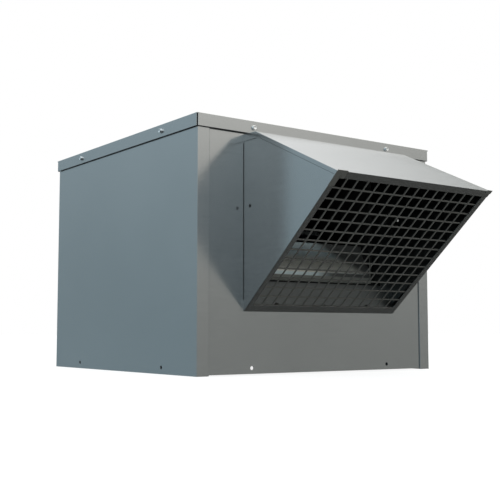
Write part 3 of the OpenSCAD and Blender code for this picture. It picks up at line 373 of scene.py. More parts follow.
# Painted shade on the blower's inside: near black, dull and not metal
scrollShade = {
    "dark": (0.020, 0.020, 0.020), "light": (0.03, 0.03, 0.03), "rough": 0.7, "metal": 0.0,
    "where": withinScroll,
}
# Painted shade on the mouth frame: brown-grey in its lowest band and near black above
mouthShade = dict(scrollShade, light=(0.32, 0.325, 0.295), where=overMouth)
wheelSteel = {
    "dark": (0.36, 0.38, 0.385), "light": (0.56, 0.58, 0.585), "metal": 1.0, "rough": 0.30,
    "spangle": {"scale": 110.0, "depth": 0.25, "gloss": 0.10},
}
boxSteel = {
    "dark": (0.40, 0.42, 0.43), "light": (0.62, 0.64, 0.65), "metal": 1.0, "rough": 0.33,
    "spangle": {"scale": 160.0, "depth": 0.35, "gloss": 0.12},
}
finishes = {
    "housing_sheet": sheetSteel("housingSheet", housing),
    "dark_steel": paint("darkRails", (0.10, 0.095, 0.09), 0.45, 0.4),
    "screen_steel": paint("screenSteel", (0.195, 0.193, 0.178), 0.45, 0.4, 0.25),
    "blower_sheet": sheetSteel("blowerSheet", blowerSteel),
    "wheel_sheet": sheetSteel("wheelSheet", wheelSteel),
    "bright_steel": turnedMetal("brightSteel", (0.80, 0.81, 0.82), 0.24),
    "soft_foam": foam("softFoam", (0.022, 0.022, 0.022)),
    "black_rubber": rubber("blackRubber", (0.012, 0.012, 0.012), 0.6),
    "motor_paint": paint("motorPaint", (0.022, 0.023, 0.025), 0.36, 0.0, 0.5, 0.2),
    "core_steel": laminations("coreSteel", (0.20, 0.20, 0.21)),
    "copper_wire": windings("copperWire", (0.62, 0.25, 0.10)),
    "box_sheet": sheetSteel("boxSheet", boxSteel),
    "switch_plastic": paint("switchPlastic", (0.018, 0.018, 0.02), 0.5, 0.0, 0.2),
    "lever_metal": turnedMetal("leverMetal", (0.78, 0.78, 0.79), 0.12),
    "fitting_metal": turnedMetal("fittingMetal", (0.36, 0.36, 0.37), 0.42),
    "cable_sheath": rubber("cableSheath", (0.016, 0.016, 0.017), 0.45),
    "can_metal": turnedMetal("canMetal", (0.62, 0.63, 0.65), 0.34),
}
ownFinish = {}  # nodes whose finish differs from that of their slot
for finish, members in (
        (sheetSteel("hoodSheet", housing, hoodShade),
         ("hood_top", "hood_left_side", "hood_right_side", "hood_sill")),
        (sheetSteel("frontSheet", frontPanel, hoodShade), ("front_panel",)),
        (cutoffSheet(), ("cutoff_plate",)),
        # Painted shade: the screws inside the hood get a dark, dull finish for the hood's shade
        (paint("shadedHoodScrews", (0.09, 0.09, 0.085), 0.5, 0.4), ("hood_screws",)),
        (paint("blackRails", (0.012, 0.012, 0.012), 0.6),
         ("left_base_rail", "right_base_rail", "front_seat_angle", "rear_seat_angle")),
        (sheetSteel("scrollSheet", blowerSteel, scrollShade),
         ("scroll_wrap", "scroll_left_plate", "scroll_right_plate")),
        (sheetSteel("mouthSheet", blowerSteel, mouthShade), ("mouth_frame",))):
    for node in members:
        ownFinish[node] = finish


def finishOf(node):
    return ownFinish.get(node, finishes[slotOf[node]])


for node, piece in nodes.items():
    piece.data.materials.clear()
    piece.data.materials.append(finishOf(node))
print("finishes made:", len(finishes) + len(ownFinish))


# Tools for the pieces

def only(piece):
    if bpy.context.object and bpy.context.object.mode != "OBJECT":
        bpy.ops.object.mode_set(mode="OBJECT")
    bpy.ops.object.select_all(action="DESELECT")
    piece.select_set(True)
    bpy.context.view_layer.objects.active = piece


def whole(piece):  # edit mode, with all of the piece selected
    only(piece)
    bpy.ops.object.mode_set(mode="EDIT")
    bpy.ops.mesh.select_all(action="SELECT")


def pick(piece, kind, test):  # selects faces by centre and normal, or edges by their two ends, in edit mode
    only(piece)
    mesh = piece.data
    for part in (mesh.vertices, mesh.edges, mesh.polygons):
        part.foreach_set("select", [False] * len(part))
    if kind == "FACE":
        for face in mesh.polygons:
            face.select = test(face.center, face.normal)
    else:
        for edge in mesh.edges:
            edge.select = test(*(mesh.vertices[i].co for i in edge.vertices))
    bpy.context.tool_settings.mesh_select_mode = (False, kind == "EDGE", kind == "FACE")
    bpy.ops.object.mode_set(mode="EDIT")


def done():
    bpy.ops.object.mode_set(mode="OBJECT")
    return bpy.context.object


def welded():  # merges what touches, turns the faces outwards and leaves edit mode
    bpy.ops.mesh.select_all(action="SELECT")
    bpy.ops.mesh.remove_doubles(threshold=0.000001)
    bpy.ops.mesh.normals_make_consistent(inside=False)
    return done()


def block(place, size, turn=(0, 0, 0)):  # a box, with its place in its mesh
    bpy.ops.mesh.primitive_cube_add(size=1, location=place, rotation=turn)
    piece = bpy.context.object
    piece.scale = size
    bpy.ops.object.transform_apply(location=True, rotation=True, scale=True)
    return piece


def shape(piece, kind, **settings):
    only(piece)
    modifier = piece.modifiers.new(kind.lower(), kind)
    for key, value in settings.items():
        setattr(modifier, key, value)
    bpy.ops.object.modifier_apply(modifier=modifier.name)
    return piece


def soften(piece, width, segments=2, angle=32, clamp=True):
    return shape(piece, "BEVEL", width=width, segments=segments, limit_method="ANGLE",
                 angle_limit=math.radians(angle), use_clamp_overlap=clamp, harden_normals=False)


def settle(piece, angle=30):  # place into the mesh, smooth shading on the curved faces
    only(piece)
    bpy.ops.object.transform_apply(location=True, rotation=True, scale=True)
    bpy.ops.object.shade_smooth_by_angle(angle=math.radians(angle))
    return shape(piece, "WEIGHTED_NORMAL", keep_sharp=True, weight=90)


def dressIn(piece, finish, body):
    piece.data.materials.clear()
    piece.data.materials.append(finish)
    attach(piece, body)
    return piece


def dress(piece, node):  # for a piece that stands for a CAD node
    dressIn(piece, finishOf(node), bodyOf[node])
    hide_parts(node)
    return piece


def dressExtra(piece, slot, body="housing"):  # for a piece that no CAD node stands for
    return dressIn(piece, finishes[slot], body)


def roundedCopy(node, width):  # a copy of a node's solid with rounded edges
    piece = bpy.data.objects.new(node + "_rounded", nodes[node].data.copy())
    bpy.context.scene.collection.objects.link(piece)
    only(piece)
    bpy.ops.mesh.customdata_custom_splitnormals_clear()
    whole(piece)
    bpy.ops.mesh.remove_doubles(threshold=0.00001)
    bpy.ops.mesh.dissolve_limited(angle_limit=math.radians(0.5))
    done()
    if node in reshape:
        reshape[node](piece)
    soften(piece, width, angle=30, clamp=False)
    return dress(settle(piece), node)


def joined(pieces, name):
    bpy.ops.object.select_all(action="DESELECT")
    for piece in pieces:
        piece.select_set(True)
    bpy.context.view_layer.objects.active = pieces[0]
    if len(pieces) > 1:
        bpy.ops.object.join()
    union = bpy.context.object
    union.name = union.data.name = name
    return union


def copied(piece, place, turn):  # a copy with its own mesh
    twin = piece.copy()
    twin.data = piece.data.copy()
    bpy.context.scene.collection.objects.link(twin)
    twin.location = place
    twin.rotation_euler = turn
    return twin


def repeated(master, spots, name):  # copies at every spot, a place and a turn, as one piece
    copies = [copied(master, place, turn) for place, turn in spots]
    bpy.data.objects.remove(master)
    return settle(joined(copies, name))


def turned(outline, sides=48, name="turned"):  # an outline of radius and height, extruded ring by ring
    bpy.ops.object.select_all(action="DESELECT")
    radius, height = outline[0]
    bpy.ops.mesh.primitive_circle_add(vertices=sides, radius=radius, location=(0, 0, height))
    piece = bpy.context.object
    piece.name = name
    bpy.ops.object.transform_apply(location=True, rotation=True, scale=True)
    whole(piece)
    for nextRadius, nextHeight in outline[1:] + outline[:1]:
        bpy.ops.mesh.extrude_edges_move(TRANSFORM_OT_translate={"value": (0, 0, nextHeight - height)})
        grow = nextRadius / radius
        bpy.ops.transform.resize(value=(grow, grow, 1), center_override=(0, 0, 0))
        radius, height = nextRadius, nextHeight
    return welded()


# What a few sheets get before their edges are rounded

tabs = {"round": 0.0010, "bend": (-0.346, 0.4655), "fall": 0.4678, "below": 0.004, "shortest": 0.02}
flanges = {"round": 0.0009, "shortest": 0.3, "within": 0.305}
cornerSlot = {"wide": 0.0026, "long": 0.0052, "drop": 0.0022}
farPlate = {"cut": 0.0270, "upScreen": (0, -0.7602, 0.6498), "rightOf": 0.1}
near = 0.0001  # lengths below this count as none


def bevelPicked(width, segments):
    bpy.ops.mesh.bevel(offset=width, segments=segments, affect="EDGES", clamp_overlap=True)
    done()


def roundTabEdge(piece):  # the lower outer edges of the hood top's tabs
    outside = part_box("hood_top")[1].x
    bendY, bendZ = tabs["bend"]

    def lowEdge(a, b):
        lengthways = abs(a.x - b.x) < near and abs(a.y - b.y) > tabs["shortest"]
        slopeThere = bendZ - tabs["fall"] * abs((a.y + b.y) / 2 - bendY)
        return outside - abs(a.x) < 2 * near and lengthways and (a.z + b.z) / 2 < slopeThere - tabs["below"]

    pick(piece, "EDGE", lowEdge)
    bevelPicked(tabs["round"], 2)


def roundFlangeEdge(piece):  # the free edges of a side panel's corner flanges
    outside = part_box("left_side_panel")[1].y

    def freeEdge(a, b):
        atFlange = min(abs(abs(end.y) - outside) for end in (a, b)) < near
        return atFlange and abs(a.z - b.z) > flanges["shortest"] and abs(a.x) < flanges["within"]

    pick(piece, "EDGE", freeEdge)
    bevelPicked(flanges["round"], 3)


def openLidCorners(piece):  # slots between the skirt's flaps
    low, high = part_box("lid")
    z = (low.z + high.z) / 2 - cornerSlot["drop"]
    size = (cornerSlot["wide"], cornerSlot["long"], high.z - low.z)
    cutter = joined([block((x, y, z), size) for x in (low.x, high.x) for y in (low.y, high.y)], "cornerSlots")
    shape(piece, "BOOLEAN", object=cutter, operation="DIFFERENCE", solver="EXACT")
    bpy.data.objects.remove(cutter)


def trimFarPlate(piece):  # only the tip of the right corner plate shows past the hood's flange
    pick(piece, "FACE", lambda c, n: c.x > farPlate["rightOf"] and n.y > 0.6 and n.z < -0.5)
    bpy.ops.transform.translate(value=tuple(farPlate["cut"] * way for way in farPlate["upScreen"]))
    done()


reshape = {
    "hood_top": roundTabEdge, "lid": openLidCorners, "left_side_panel": roundFlangeEdge,
    "right_side_panel": roundFlangeEdge, "hood_corner_plates": trimFarPlate,
}

# Sheets and hard parts with rounded edges

edgeRounding = {
    "lid": 0.0005, "left_side_panel": 0.0004, "right_side_panel": 0.0004, "front_panel": 0.0004,
    "rear_panel": 0.0004, "hood_top": 0.0004, "hood_left_side": 0.0004, "hood_right_side": 0.0004,
    "hood_sill": 0.0004, "hood_corner_plates": 0.0004, "mouth_frame": 0.0004, "cutoff_plate": 0.0004,
    "tongue_strip": 0.0005, "scroll_wrap": 0.0004, "scroll_left_plate": 0.0004, "scroll_right_plate": 0.0004,
    "left_base_rail": 0.0005, "right_base_rail": 0.0005, "front_seat_angle": 0.0005,
    "rear_seat_angle": 0.0005, "left_blower_rail": 0.0006, "right_blower_rail": 0.0006,
    "left_foot_angle": 0.0006, "right_foot_angle": 0.0006, "motor_arms": 0.0006, "motor_band": 0.0005,
    "junction_box": 0.0005, "junction_box_cover": 0.0005, "left_inlet_ring": 0.0005,
    "right_inlet_ring": 0.0005,
    "wheel_left_ring": 0.0006, "wheel_right_ring": 0.0006, "wheel_centre_plate": 0.0004, "wheel_hub": 0.0008,
    "hub_set_screw": 0.0004, "motor_shaft": 0.0006, "motor_shell": 0.0008, "motor_drive_bell": 0.0018,
    "motor_rear_bell": 0.0018, "switch_body": 0.0012, "switch_lever": 0.0006, "cable_fittings": 0.0005,
    "capacitor": 0.0008,
}
for node, width in edgeRounding.items():
    roundedCopy(node, width)
print("sheets rounded:", len(edgeRounding))

# A dark bead in the joint of the hood with the front panel, which also paints the shadow of the joint's gap,
# and a thin black strip below each of the top's tabs as a painted shadow line

joint = {
    "bead": 0.0006, "low": 0.144, "high": 0.4505, "sideFlange": 0.006,
    "tabShadowLine": 0.00045, "tabHigh": (-0.3465, 0.4565), "tabLow": (-0.5710, 0.3514),
}
hoodWall = -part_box("hood_left_side")[0].x - joint["sideFlange"]  # from the middle to a side's outer face


def hoodBeadAndShadowLines():
    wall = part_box("hood_top")[1].y
    bead, line = joint["bead"], joint["tabShadowLine"]
    high, low = (Vector((0, *joint[end])) for end in ("tabHigh", "tabLow"))
    fall = math.atan2(high.z - low.z, high.y - low.y)
    strips = []
    for side in (-1, 1):
        strips.append(block(
            (side * (hoodWall + bead / 2), wall - bead / 2, (joint["low"] + joint["high"]) / 2),
            (bead, bead, joint["high"] - joint["low"])))
    # Painted shadow lines: thin black strips below the lower edges of the top's tabs
    for side in (-1, 1):
        place = (high + low) / 2 + Vector((side * (hoodWall + line / 2), 0, -line / 2))
        strips.append(soften(block(place, (line, (high - low).length, line), (fall, 0, 0)), line * 0.3))
    return dressExtra(settle(joined(strips, "hood_joint_bead_and_shadow_lines")), "black_rubber")


# A rubber grommet in the hole of the hood's left side

holeRubber = {
    "place": (-0.3263, 0.3235), "radius": 0.0026, "bore": 0.0012,
    "seat": 0.0022, "proud": 0.0005, "lip": 0.0002,
}


def holeGrommet():
    radius, bore, seat, lip = (holeRubber[key] for key in ("radius", "bore", "seat", "lip"))
    top = seat + holeRubber["proud"]
    ring = turned([(bore, 0), (radius * 0.9, 0), (radius * 0.9, seat), (radius * 1.25, seat),
                   (radius * 1.3, seat + lip), (radius * 1.15, top), (bore * 1.15, top),
                   (bore, seat - lip)], 32, "hood_hole_grommet")
    ring.location = (seat - hoodWall, *holeRubber["place"])
    ring.rotation_euler = (0, -math.pi / 2, 0)
    return dressExtra(settle(ring), "black_rubber")


hoodBeadAndShadowLines()
holeGrommet()
print("hood sealed")

# Screws with a washer face and a hexagon head

screw = {
    "washerRadius": 0.0052, "washerHeight": 0.0010, "acrossFlats": 0.008, "headHeight": 0.0042,
    "shankRadius": 0.0024, "shankLength": 0.012,
}
headForm = {  # in eighths of the width across flats, and shares of the washer's height and the shank's radius
    "rim": 1.1, "wall": 0.7, "recess": 0.6, "edge": 0.35, "washerEdge": 0.3, "shankEdge": 0.2,
}
lidScrews = {"below": 0.013, "fromMiddle": 0.18}
hoodScrews = {"behind": 0.0012, "x": (-0.1206, 0, 0.1206), "z": (0.457, 0.1345)}


def rod(sides, radius, low, high):
    bpy.ops.mesh.primitive_cylinder_add(
        vertices=sides, radius=radius, depth=high - low, location=(0, 0, (low + high) / 2))
    return bpy.context.object


def hexScrew(size):  # seated at z = 0, head upwards
    washer = rod(32, size["washerRadius"], 0, size["washerHeight"])
    soften(washer, size["washerHeight"] * headForm["washerEdge"])
    head = rod(6, size["acrossFlats"] / math.sqrt(3), 0, size["headHeight"])
    bpy.ops.object.transform_apply(location=True, rotation=True, scale=True)
    unit = size["acrossFlats"] / 8
    pick(head, "FACE", lambda c, n: n.z > 0.9)
    bpy.ops.mesh.inset(thickness=headForm["rim"] * unit)
    bpy.ops.mesh.inset(thickness=headForm["wall"] * unit)
    bpy.ops.transform.translate(value=(0, 0, -headForm["recess"] * unit))
    done()
    soften(head, headForm["edge"] * unit, 3)
    shank = rod(20, size["shankRadius"], -size["shankLength"], 0)
    soften(shank, headForm["shankEdge"] * size["shankRadius"])
    return settle(joined([washer, head, shank], "hexScrew"))


def lidScrewSpots():  # two in each flap of the skirt, heads outwards
    low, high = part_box("lid")
    z = high.z - lidScrews["below"]
    for side, corner in ((-1, low), (1, high)):
        for along in (-lidScrews["fromMiddle"], lidScrews["fromMiddle"]):
            yield (along, corner.y, z), (math.pi / 2 * -side, 0, 0)
            yield (corner.x, along, z), (0, math.pi / 2 * side, 0)


def hoodScrewSpots():
    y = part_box("hood_top")[1].y - hoodScrews["behind"]
    for x in hoodScrews["x"]:
        for z in hoodScrews["z"]:
            yield (x, y, z), (math.pi / 2, 0, 0)


for node, spots in (("lid_screws", lidScrewSpots()), ("hood_screws", hoodScrewSpots())):
    dress(repeated(hexScrew(screw), spots, node + "_turned"), node)
print("screws placed")

# Bird screen of welded bars with rounded edges

screen = {
    "pitch": 0.0254, "bar": 0.0032, "depth": 0.0022, "rim": 0.001, "columns": 15, "rows": 13,
    "weave": 0.00008, "round": 0.0007,
}


def birdScreen():
    low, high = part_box("birdscreen")
    slope = math.atan2(high.z - low.z, -(high.y - low.y))
    bar, depth, weave = screen["bar"], screen["depth"], screen["weave"]
    wide, tall = high.x - low.x, screen["rows"] * screen["pitch"] + bar + 2 * screen["rim"]
    bars = []
    for along, count, size in (
            ("X", screen["rows"], (wide, bar, depth)), ("Y", screen["columns"], (bar, tall, depth))):
        for i in range(count + 1):
            off = (i - count / 2) * screen["pitch"]
            place = (0, off, weave) if along == "X" else (off, 0, -weave)
            bars.append(soften(block(place, size), screen["round"]))
    net = joined(bars, "birdscreen_welded")
    net.rotation_euler = (slope - math.pi, 0, 0)
    net.location = (low + high) / 2
    return dress(settle(net), "birdscreen")


birdScreen()
print("bird screen welded")

# Foam strips, each frame in four lengths with butt joints

foams = {
    "lid_foam": {"flat": "Z", "width": 0.020, "gap": 0.0006, "round": 0.0008},
    "curb_foam": {"flat": "Z", "width": 0.0238, "gap": 0.0006, "round": 0.0010},
    "mouth_seal": {"flat": "Y", "width": 0.014, "gap": 0.0004, "round": 0.0005},
}


def foamFrame(node, strip):
    low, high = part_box(node)
    middle, size = (low + high) / 2, high - low
    up = 1 if strip["flat"] == "Z" else 2  # the frame's second direction, beside X
    bars = []
    for along, across in ((0, up), (up, 0)):
        extent = list(size)
        extent[across] = strip["width"]
        if along == up:
            extent[along] = size[along] - 2 * strip["width"] - 2 * strip["gap"]
        for side in (-1, 1):
            place = list(middle)
            place[across] += side * (size[across] - strip["width"]) / 2
            bars.append(soften(block(place, extent), strip["round"], 3))
    return dress(settle(joined(bars, node + "_strips")), node)


for node, strip in foams.items():
    foamFrame(node, strip)
print("foam strips laid:", len(foams))

# Rubber isolators with a waist, and grommets with a groove

mount = {"hole": 0.0044, "lip": 0.0015, "waist": 0.0022, "x": 0.185, "y": 0.14, "round": 0.0006}
arm = {
    "angles": (30, 150, 270), "radius": 0.128, "bore": 0.0032, "outer": 0.009, "groove": 0.0018,
    "edge": 0.001, "round": 0.0004,
}


def mountSpots(z):
    return [((x * mount["x"], y * mount["y"], z), (0, 0, 0)) for x in (-1, 1) for y in (-1, 1)]


def armSpots(x):  # at the ends of the motor's arms, the piece's upper end to the left
    for angle in arm["angles"]:
        a = math.radians(angle)
        y, z = fanAxis.y + arm["radius"] * math.cos(a), fanAxis.z + arm["radius"] * math.sin(a)
        yield (x, y, z), (0, -math.pi / 2, 0)


def isolators():
    low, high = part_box("isolators")
    height, radius = high.z - low.z, high.x - mount["x"]
    hole, waist, lip = mount["hole"], radius - mount["waist"], mount["lip"]
    master = turned([
        (hole, 0), (radius - lip, 0), (radius, lip), (radius, 3 * lip), (waist, 5 * lip),
        (waist - lip / 3, height / 2), (waist, height - 5 * lip), (radius, height - 3 * lip),
        (radius, height - lip), (radius - lip, height), (hole, height)], 48)
    soften(master, mount["round"], 2, 20)
    dress(repeated(master, mountSpots(low.z), "isolators_moulded"), "isolators")


def armGrommets():
    low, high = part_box("arm_grommets")
    thick, r, b, edge = high.x - low.x, arm["outer"], arm["bore"], arm["edge"]
    floor = r - arm["groove"]
    master = turned([
        (b, 0), (r - edge, 0), (r, edge), (r, thick * 0.3), (floor, thick * 0.38), (floor, thick * 0.62),
        (r, thick * 0.7), (r, thick - edge), (r - edge, thick), (b, thick)], 40)
    soften(master, arm["round"], 2, 20)
    dress(repeated(master, armSpots(high.x), "arm_grommets_moulded"), "arm_grommets")


isolators()
armGrommets()
print("rubber parts moulded")

# Bolts through the isolators and the motor's arms, each with a nut that leaves a tail of thread

bolts = {
    "isolator": {"washerRadius": 0.008, "washerHeight": 0.0016, "acrossFlats": 0.013, "headHeight": 0.0065,
                 "shankRadius": 0.004, "tail": 0.002},
    "arm": {"washerRadius": 0.006, "washerHeight": 0.0016, "acrossFlats": 0.010, "headHeight": 0.0050,
            "shankRadius": 0.003, "tail": 0.002},
}


def boltRow(node, size, length, spots):  # heads seated at the spots
    bolt = hexScrew(dict(size, shankLength=length))
    half, corner = size["headHeight"] / 2, size["acrossFlats"] / math.sqrt(3)
    bore, face = size["shankRadius"] * 0.98, size["acrossFlats"] * 0.45
    nut = turned([(bore, -half), (face, -half), (corner, -half * 0.7), (corner, half * 0.7), (face, half),
                  (bore, half)], 6)
    nut.location = (0, 0, size["tail"] - length + half)
    master = settle(joined([bolt, nut], "boltWithNut"))
    dress(repeated(master, spots, node + "_turned"), node)


def isolatorBolts():
    low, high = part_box("isolator_bolts")
    seat = high.z - bolts["isolator"]["headHeight"]
    boltRow("isolator_bolts", bolts["isolator"], seat - low.z, mountSpots(seat))


def armBolts():
    low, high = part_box("arm_bolts")
    seat = low.x + bolts["arm"]["headHeight"]
    boltRow("arm_bolts", bolts["arm"], high.x - seat, armSpots(seat))


isolatorBolts()
armBolts()
print("bolts placed")

# Rivets, through bolts, beads, caps and nuts that the solids leave out

rivetForm = {"sides": 16, "rings": 8, "cut": 0.00001}
inletRivet = {"radius": 0.0024, "height": 0.0012, "count": 8, "ring": 0.1095, "start": math.pi / 8}
hubRivet = {
    "radius": 0.0026, "height": 0.0014, "count": 4, "ring": 0.0275, "start": math.pi / 4, "inset": 0.003,
}
throughBolt = {
    "washerRadius": 0.0045, "washerHeight": 0.0010, "acrossFlats": 0.007, "headHeight": 0.0036,
    "shankRadius": 0.0020, "shankLength": 0.004, "count": 4, "ring": 0.060, "start": math.pi / 4,
}


def rivet(size):  # a low dome on z = 0
    bpy.ops.mesh.primitive_uv_sphere_add(
        segments=rivetForm["sides"], ring_count=rivetForm["rings"], radius=size["radius"])
    whole(bpy.context.object)
    bpy.ops.mesh.bisect(
        plane_co=(0, 0, rivetForm["cut"]), plane_no=(0, 0, 1), use_fill=True, clear_inner=True)
    bpy.ops.mesh.select_all(action="SELECT")
    bpy.ops.transform.resize(value=(1, 1, size["height"] / size["radius"]), center_override=(0, 0, 0))
    return done()


def ringSpots(size, x, side):  # round the fan's axis, heads along side
    for i in range(size["count"]):
        a = size["start"] + 2 * math.pi * i / size["count"]
        y, z = fanAxis.y + size["ring"] * math.cos(a), fanAxis.z + size["ring"] * math.sin(a)
        yield (x, y, z), (0, side * math.pi / 2, 0)


def inletRivets():
    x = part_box("right_inlet_ring")[1].x
    spots = [*ringSpots(inletRivet, -x, -1), *ringSpots(inletRivet, x, 1)]
    dressExtra(repeated(rivet(inletRivet), spots, "inlet_rivets"), "blower_sheet")


def hubRivets():
    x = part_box("wheel_hub")[0].x + hubRivet["inset"]
    dressExtra(repeated(rivet(hubRivet), ringSpots(hubRivet, x, 1), "hub_rivets"), "bright_steel", "wheel")


def throughBolts():
    front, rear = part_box("motor_drive_bell")[1].x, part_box("motor_rear_bell")[0].x
    spots = [*ringSpots(throughBolt, front, 1), *ringSpots(throughBolt, rear, -1)]
    dressExtra(repeated(hexScrew(throughBolt), spots, "motor_through_bolts"), "bright_steel")


motorTrim = {
    "beads": (-0.148, -0.092), "beadHeight": 0.0012, "beadWidth": 0.005, "sunk": 0.0006,
    "beadForm": ((0, 0), (0.7, 0.2), (1, 0.4), (1, 0.6), (0.7, 0.8), (0, 1)),  # shares of height and width
    "cap": 0.021, "capHeight": 0.0024, "capBore": 0.0004,
}


def beadsAndCap():  # two beads round the motor's shell, and a cap on its rear bell
    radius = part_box("motor_shell")[1].z - fanAxis.z
    high, wide, root = motorTrim["beadHeight"], motorTrim["beadWidth"], radius - motorTrim["sunk"]
    outline = [(radius + high * out, wide * along) for out, along in motorTrim["beadForm"]]
    pieces = []
    for x in motorTrim["beads"]:
        bead = turned([(root, 0), *outline, (root, wide)], 96)
        bead.location, bead.rotation_euler = (x, fanAxis.y, fanAxis.z), (0, math.pi / 2, 0)
        pieces.append(bead)
    r, h, bore = motorTrim["cap"], motorTrim["capHeight"], motorTrim["capBore"]
    cap = turned([(bore, 0), (r, 0), (r, h * 0.4), (r * 0.93, h), (r * 0.45, h), (r * 0.40, h * 0.6),
                  (bore, h * 0.6)], 48)
    cap.location = (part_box("motor_rear_bell")[0].x, fanAxis.y, fanAxis.z)
    cap.rotation_euler = (0, -math.pi / 2, 0)
    pieces.append(cap)
    dressExtra(settle(joined(pieces, "motor_beads_and_cap")), "motor_paint")


canRim = {"radius": 0.022, "thick": 0.0011, "place": (-0.2828, 0.110, 0.295)}


def capacitorRim():
    radius, t = canRim["radius"], canRim["thick"]
    rim = turned([(radius - 2 * t, -t), (radius, -1.6 * t), (radius + 0.4 * t, -t),
                  (radius + 0.4 * t, 0.4 * t), (radius - 0.3 * t, t), (radius - 1.4 * t, t),
                  (radius - 2 * t, 0.3 * t)], 48)
    rim.location = canRim["place"]
    dressExtra(settle(rim), "can_metal")


locknut = {
    "bore": 0.0132, "radius": 0.0163, "height": 0.0032, "edge": 0.0008, "gap": 0.0002,
    "place": (-0.2529, -0.100),
}


def conduitLocknut():
    bore, r, h, edge = (locknut[key] for key in ("bore", "radius", "height", "edge"))
    nut = turned([(bore, 0), (r - edge, 0), (r, edge), (r, h - edge), (r - edge, h), (bore, h)], 8)
    nut.location = (*locknut["place"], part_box("junction_box")[0].z - h - locknut["gap"])
    dressExtra(settle(nut, 20), "fitting_metal")


inletRivets()
hubRivets()
throughBolts()
beadsAndCap()
capacitorRim()
conduitLocknut()
print("small parts placed")

# Motor cable, held by a gland at each end

cable = {
    "radius": 0.004, "steps": 8, "sides": 7,
    "route": [(-0.192, 0.030, 0.295), (-0.208, 0.030, 0.295), (-0.220, 0.033, 0.294), (-0.246, 0.032, 0.291),
              (-0.2658, 0.022, 0.287), (-0.2748, 0.004, 0.283), (-0.2758, -0.028, 0.281),
              (-0.2758, -0.044, 0.281)],
}


def smoothRoute(points, steps):  # a curve through all the points
    points = [Vector(p) for p in points]
    for i in range(len(points) - 1):
        a, b, c, d = (points[max(0, min(len(points) - 1, i + k))] for k in (-1, 0, 1, 2))
        for k in range(steps):
            t = k / steps
            yield 0.5 * (2 * b + (c - a) * t + (2 * a - 5 * b + 4 * c - d) * t ** 2
                         + (3 * b - a - 3 * c + d) * t ** 3)
    yield points[-1]


def motorCable():
    curve = bpy.data.curves.new("motor_cable_sheath", "CURVE")
    curve.dimensions = "3D"
    places = list(smoothRoute(cable["route"], cable["steps"]))
    spline = curve.splines.new("POLY")
    spline.points.add(len(places) - 1)
    for point, place in zip(spline.points, places):
        point.co = (*place, 1)
    curve.bevel_depth = cable["radius"]
    curve.bevel_resolution = cable["sides"]
    curve.use_fill_caps = True
    piece = bpy.data.objects.new("motor_cable_sheath", curve)
    bpy.context.scene.collection.objects.link(piece)
    only(piece)
    bpy.ops.object.convert(target="MESH")
    bpy.ops.object.mode_set(mode="EDIT")
    return dress(settle(welded(), 40), "motor_cable")


motorCable()
print("motor cable laid")

# Light: a broad lamp above and behind, and a cool one on the left

lamps = {
    "above": {"place": (1.2, 1.0, 3.0), "aim": (0, 0, 0.3), "size": 3.8, "power": 30, "colour": (1, 0.98, 1)},
    "left": {"place": (-3.2, -0.6, 1.6), "aim": (0, 0, 0.25), "size": 1.6, "power": 4.8,
             "colour": (0.83, 0.95, 1)},
}
for name, lamp in lamps.items():
    data = bpy.data.lights.new("lamp_" + name, "AREA")
    data.size = lamp["size"]
    data.energy = lamp["power"]
    data.color = lamp["colour"]
    light = bpy.data.objects.new("lamp_" + name, data)
    light.location = lamp["place"]
    light.rotation_euler = (Vector(lamp["aim"]) - Vector(lamp["place"])).to_track_quat("-Z", "Y").to_euler()
    bpy.context.scene.collection.objects.link(light)

# The dome lights from four sides, each with a level near the horizon and one higher up

dome = {
    "backLeft": {"x": -0.6, "y": 0.8, "low": (0.30, 0.40, 0.45), "high": (0.62, 0.77, 0.85)},
    "frontLeft": {"x": -0.8, "y": -0.6, "low": (0.18, 0.23, 0.26), "high": (1.34, 1.60, 1.71)},
    "frontRight": {"x": 0.6, "y": -0.8, "low": (0.34, 0.35, 0.335), "high": (1.62, 1.58, 1.49)},
    "backRight": {"x": 0.8, "y": 0.6, "low": (0.24, 0.23, 0.21), "high": (0.42, 0.44, 0.42)},
}
levels = {  # the heights of the steps to high, to the top and from the bottom, each with its softness
    "high": (0.25, 0.25), "top": (0.775, 0.175), "bottom": (-0.425, 0.275),
    "topLight": (1.46, 1.52, 1.54), "bottomLight": (0.06, 0.06, 0.055),
    "diffuse": 0.8,  # the dome's strength where it isn't mirrored
}


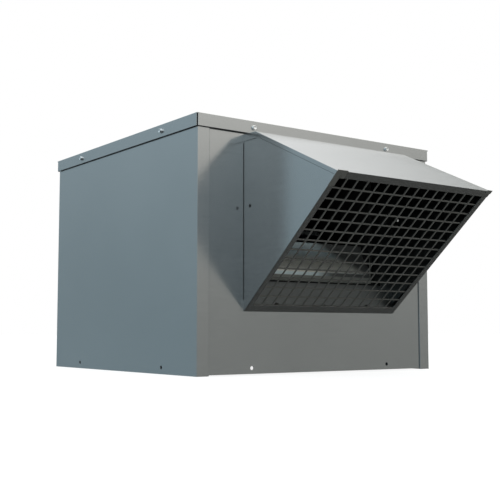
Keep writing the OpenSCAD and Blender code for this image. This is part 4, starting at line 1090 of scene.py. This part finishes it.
def studioDome():
    world = bpy.data.worlds.new("studio")
    bpy.context.scene.world = world
    w = Recipe("studio", world)
    east, north, up = w.split(w.spot)
    level = east * east + north * north
    sky = None
    for side in dome.values():
        facing = east * side["x"] + north * side["y"]
        facing = facing.maths("MAXIMUM", facing, 0.0)
        light = w.add("ShaderNodeVectorMath", {"operation": "SCALE"}, {
            0: w.mix(up.over(*levels["high"]), side["low"], side["high"]), "Scale": facing * facing / level})
        if sky:
            light = w.add("ShaderNodeVectorMath", {"operation": "ADD"}, {0: sky, 1: light})
        sky = light
    sky = w.mix(up.over(*levels["top"]), sky, levels["topLight"])
    sky = w.mix(up.over(*levels["bottom"]), levels["bottomLight"], sky)
    mirrored = w.add("ShaderNodeLightPath", output="Is Glossy Ray")
    strength = mirrored * (1 - levels["diffuse"]) + levels["diffuse"]
    lit = w.add("ShaderNodeVectorMath", {"operation": "SCALE"}, {0: sky, "Scale": strength})
    seen = w.add("ShaderNodeLightPath", output="Is Camera Ray")
    w.feed(w.shader.inputs["Color"], w.mix(seen, lit, (1, 1, 1)))


studioDome()

# Floor: white with a soft shadow to the camera; the metal reflects the dome in its place

ground = {"size": 30, "drop": 0.0005, "cloth": 0.5, "rough": 0.9, "white": 0.6, "glow": 1.45}


def studioFloor():
    bpy.ops.mesh.primitive_plane_add(size=1, location=(0, 0, -ground["drop"]))
    floor = bpy.context.object
    floor.name = "studioFloor"
    floor.scale = (ground["size"], ground["size"], 1)
    bpy.ops.object.transform_apply(location=True, rotation=True, scale=True)
    f = Recipe("paleFloor")
    f.finish(Base_Color=(ground["cloth"],) * 3, Roughness=ground["rough"])
    cloth = Wire(f, f.shader.outputs[0])
    white = f.add("ShaderNodeEmission", {}, {"Color": (1, 1, 1), "Strength": ground["glow"]})
    seen = f.add("ShaderNodeLightPath", output="Is Camera Ray")
    toCamera = f.add("ShaderNodeMixShader", {}, {0: ground["white"], 1: cloth, 2: white})
    both = f.add("ShaderNodeMixShader", {}, {0: seen, 1: cloth, 2: toCamera})
    f.feed(f.tree.nodes["Material Output"].inputs["Surface"], both)
    floor.data.materials.append(f.material)
    floor.visible_glossy = False


studioFloor()
print("studio lit")
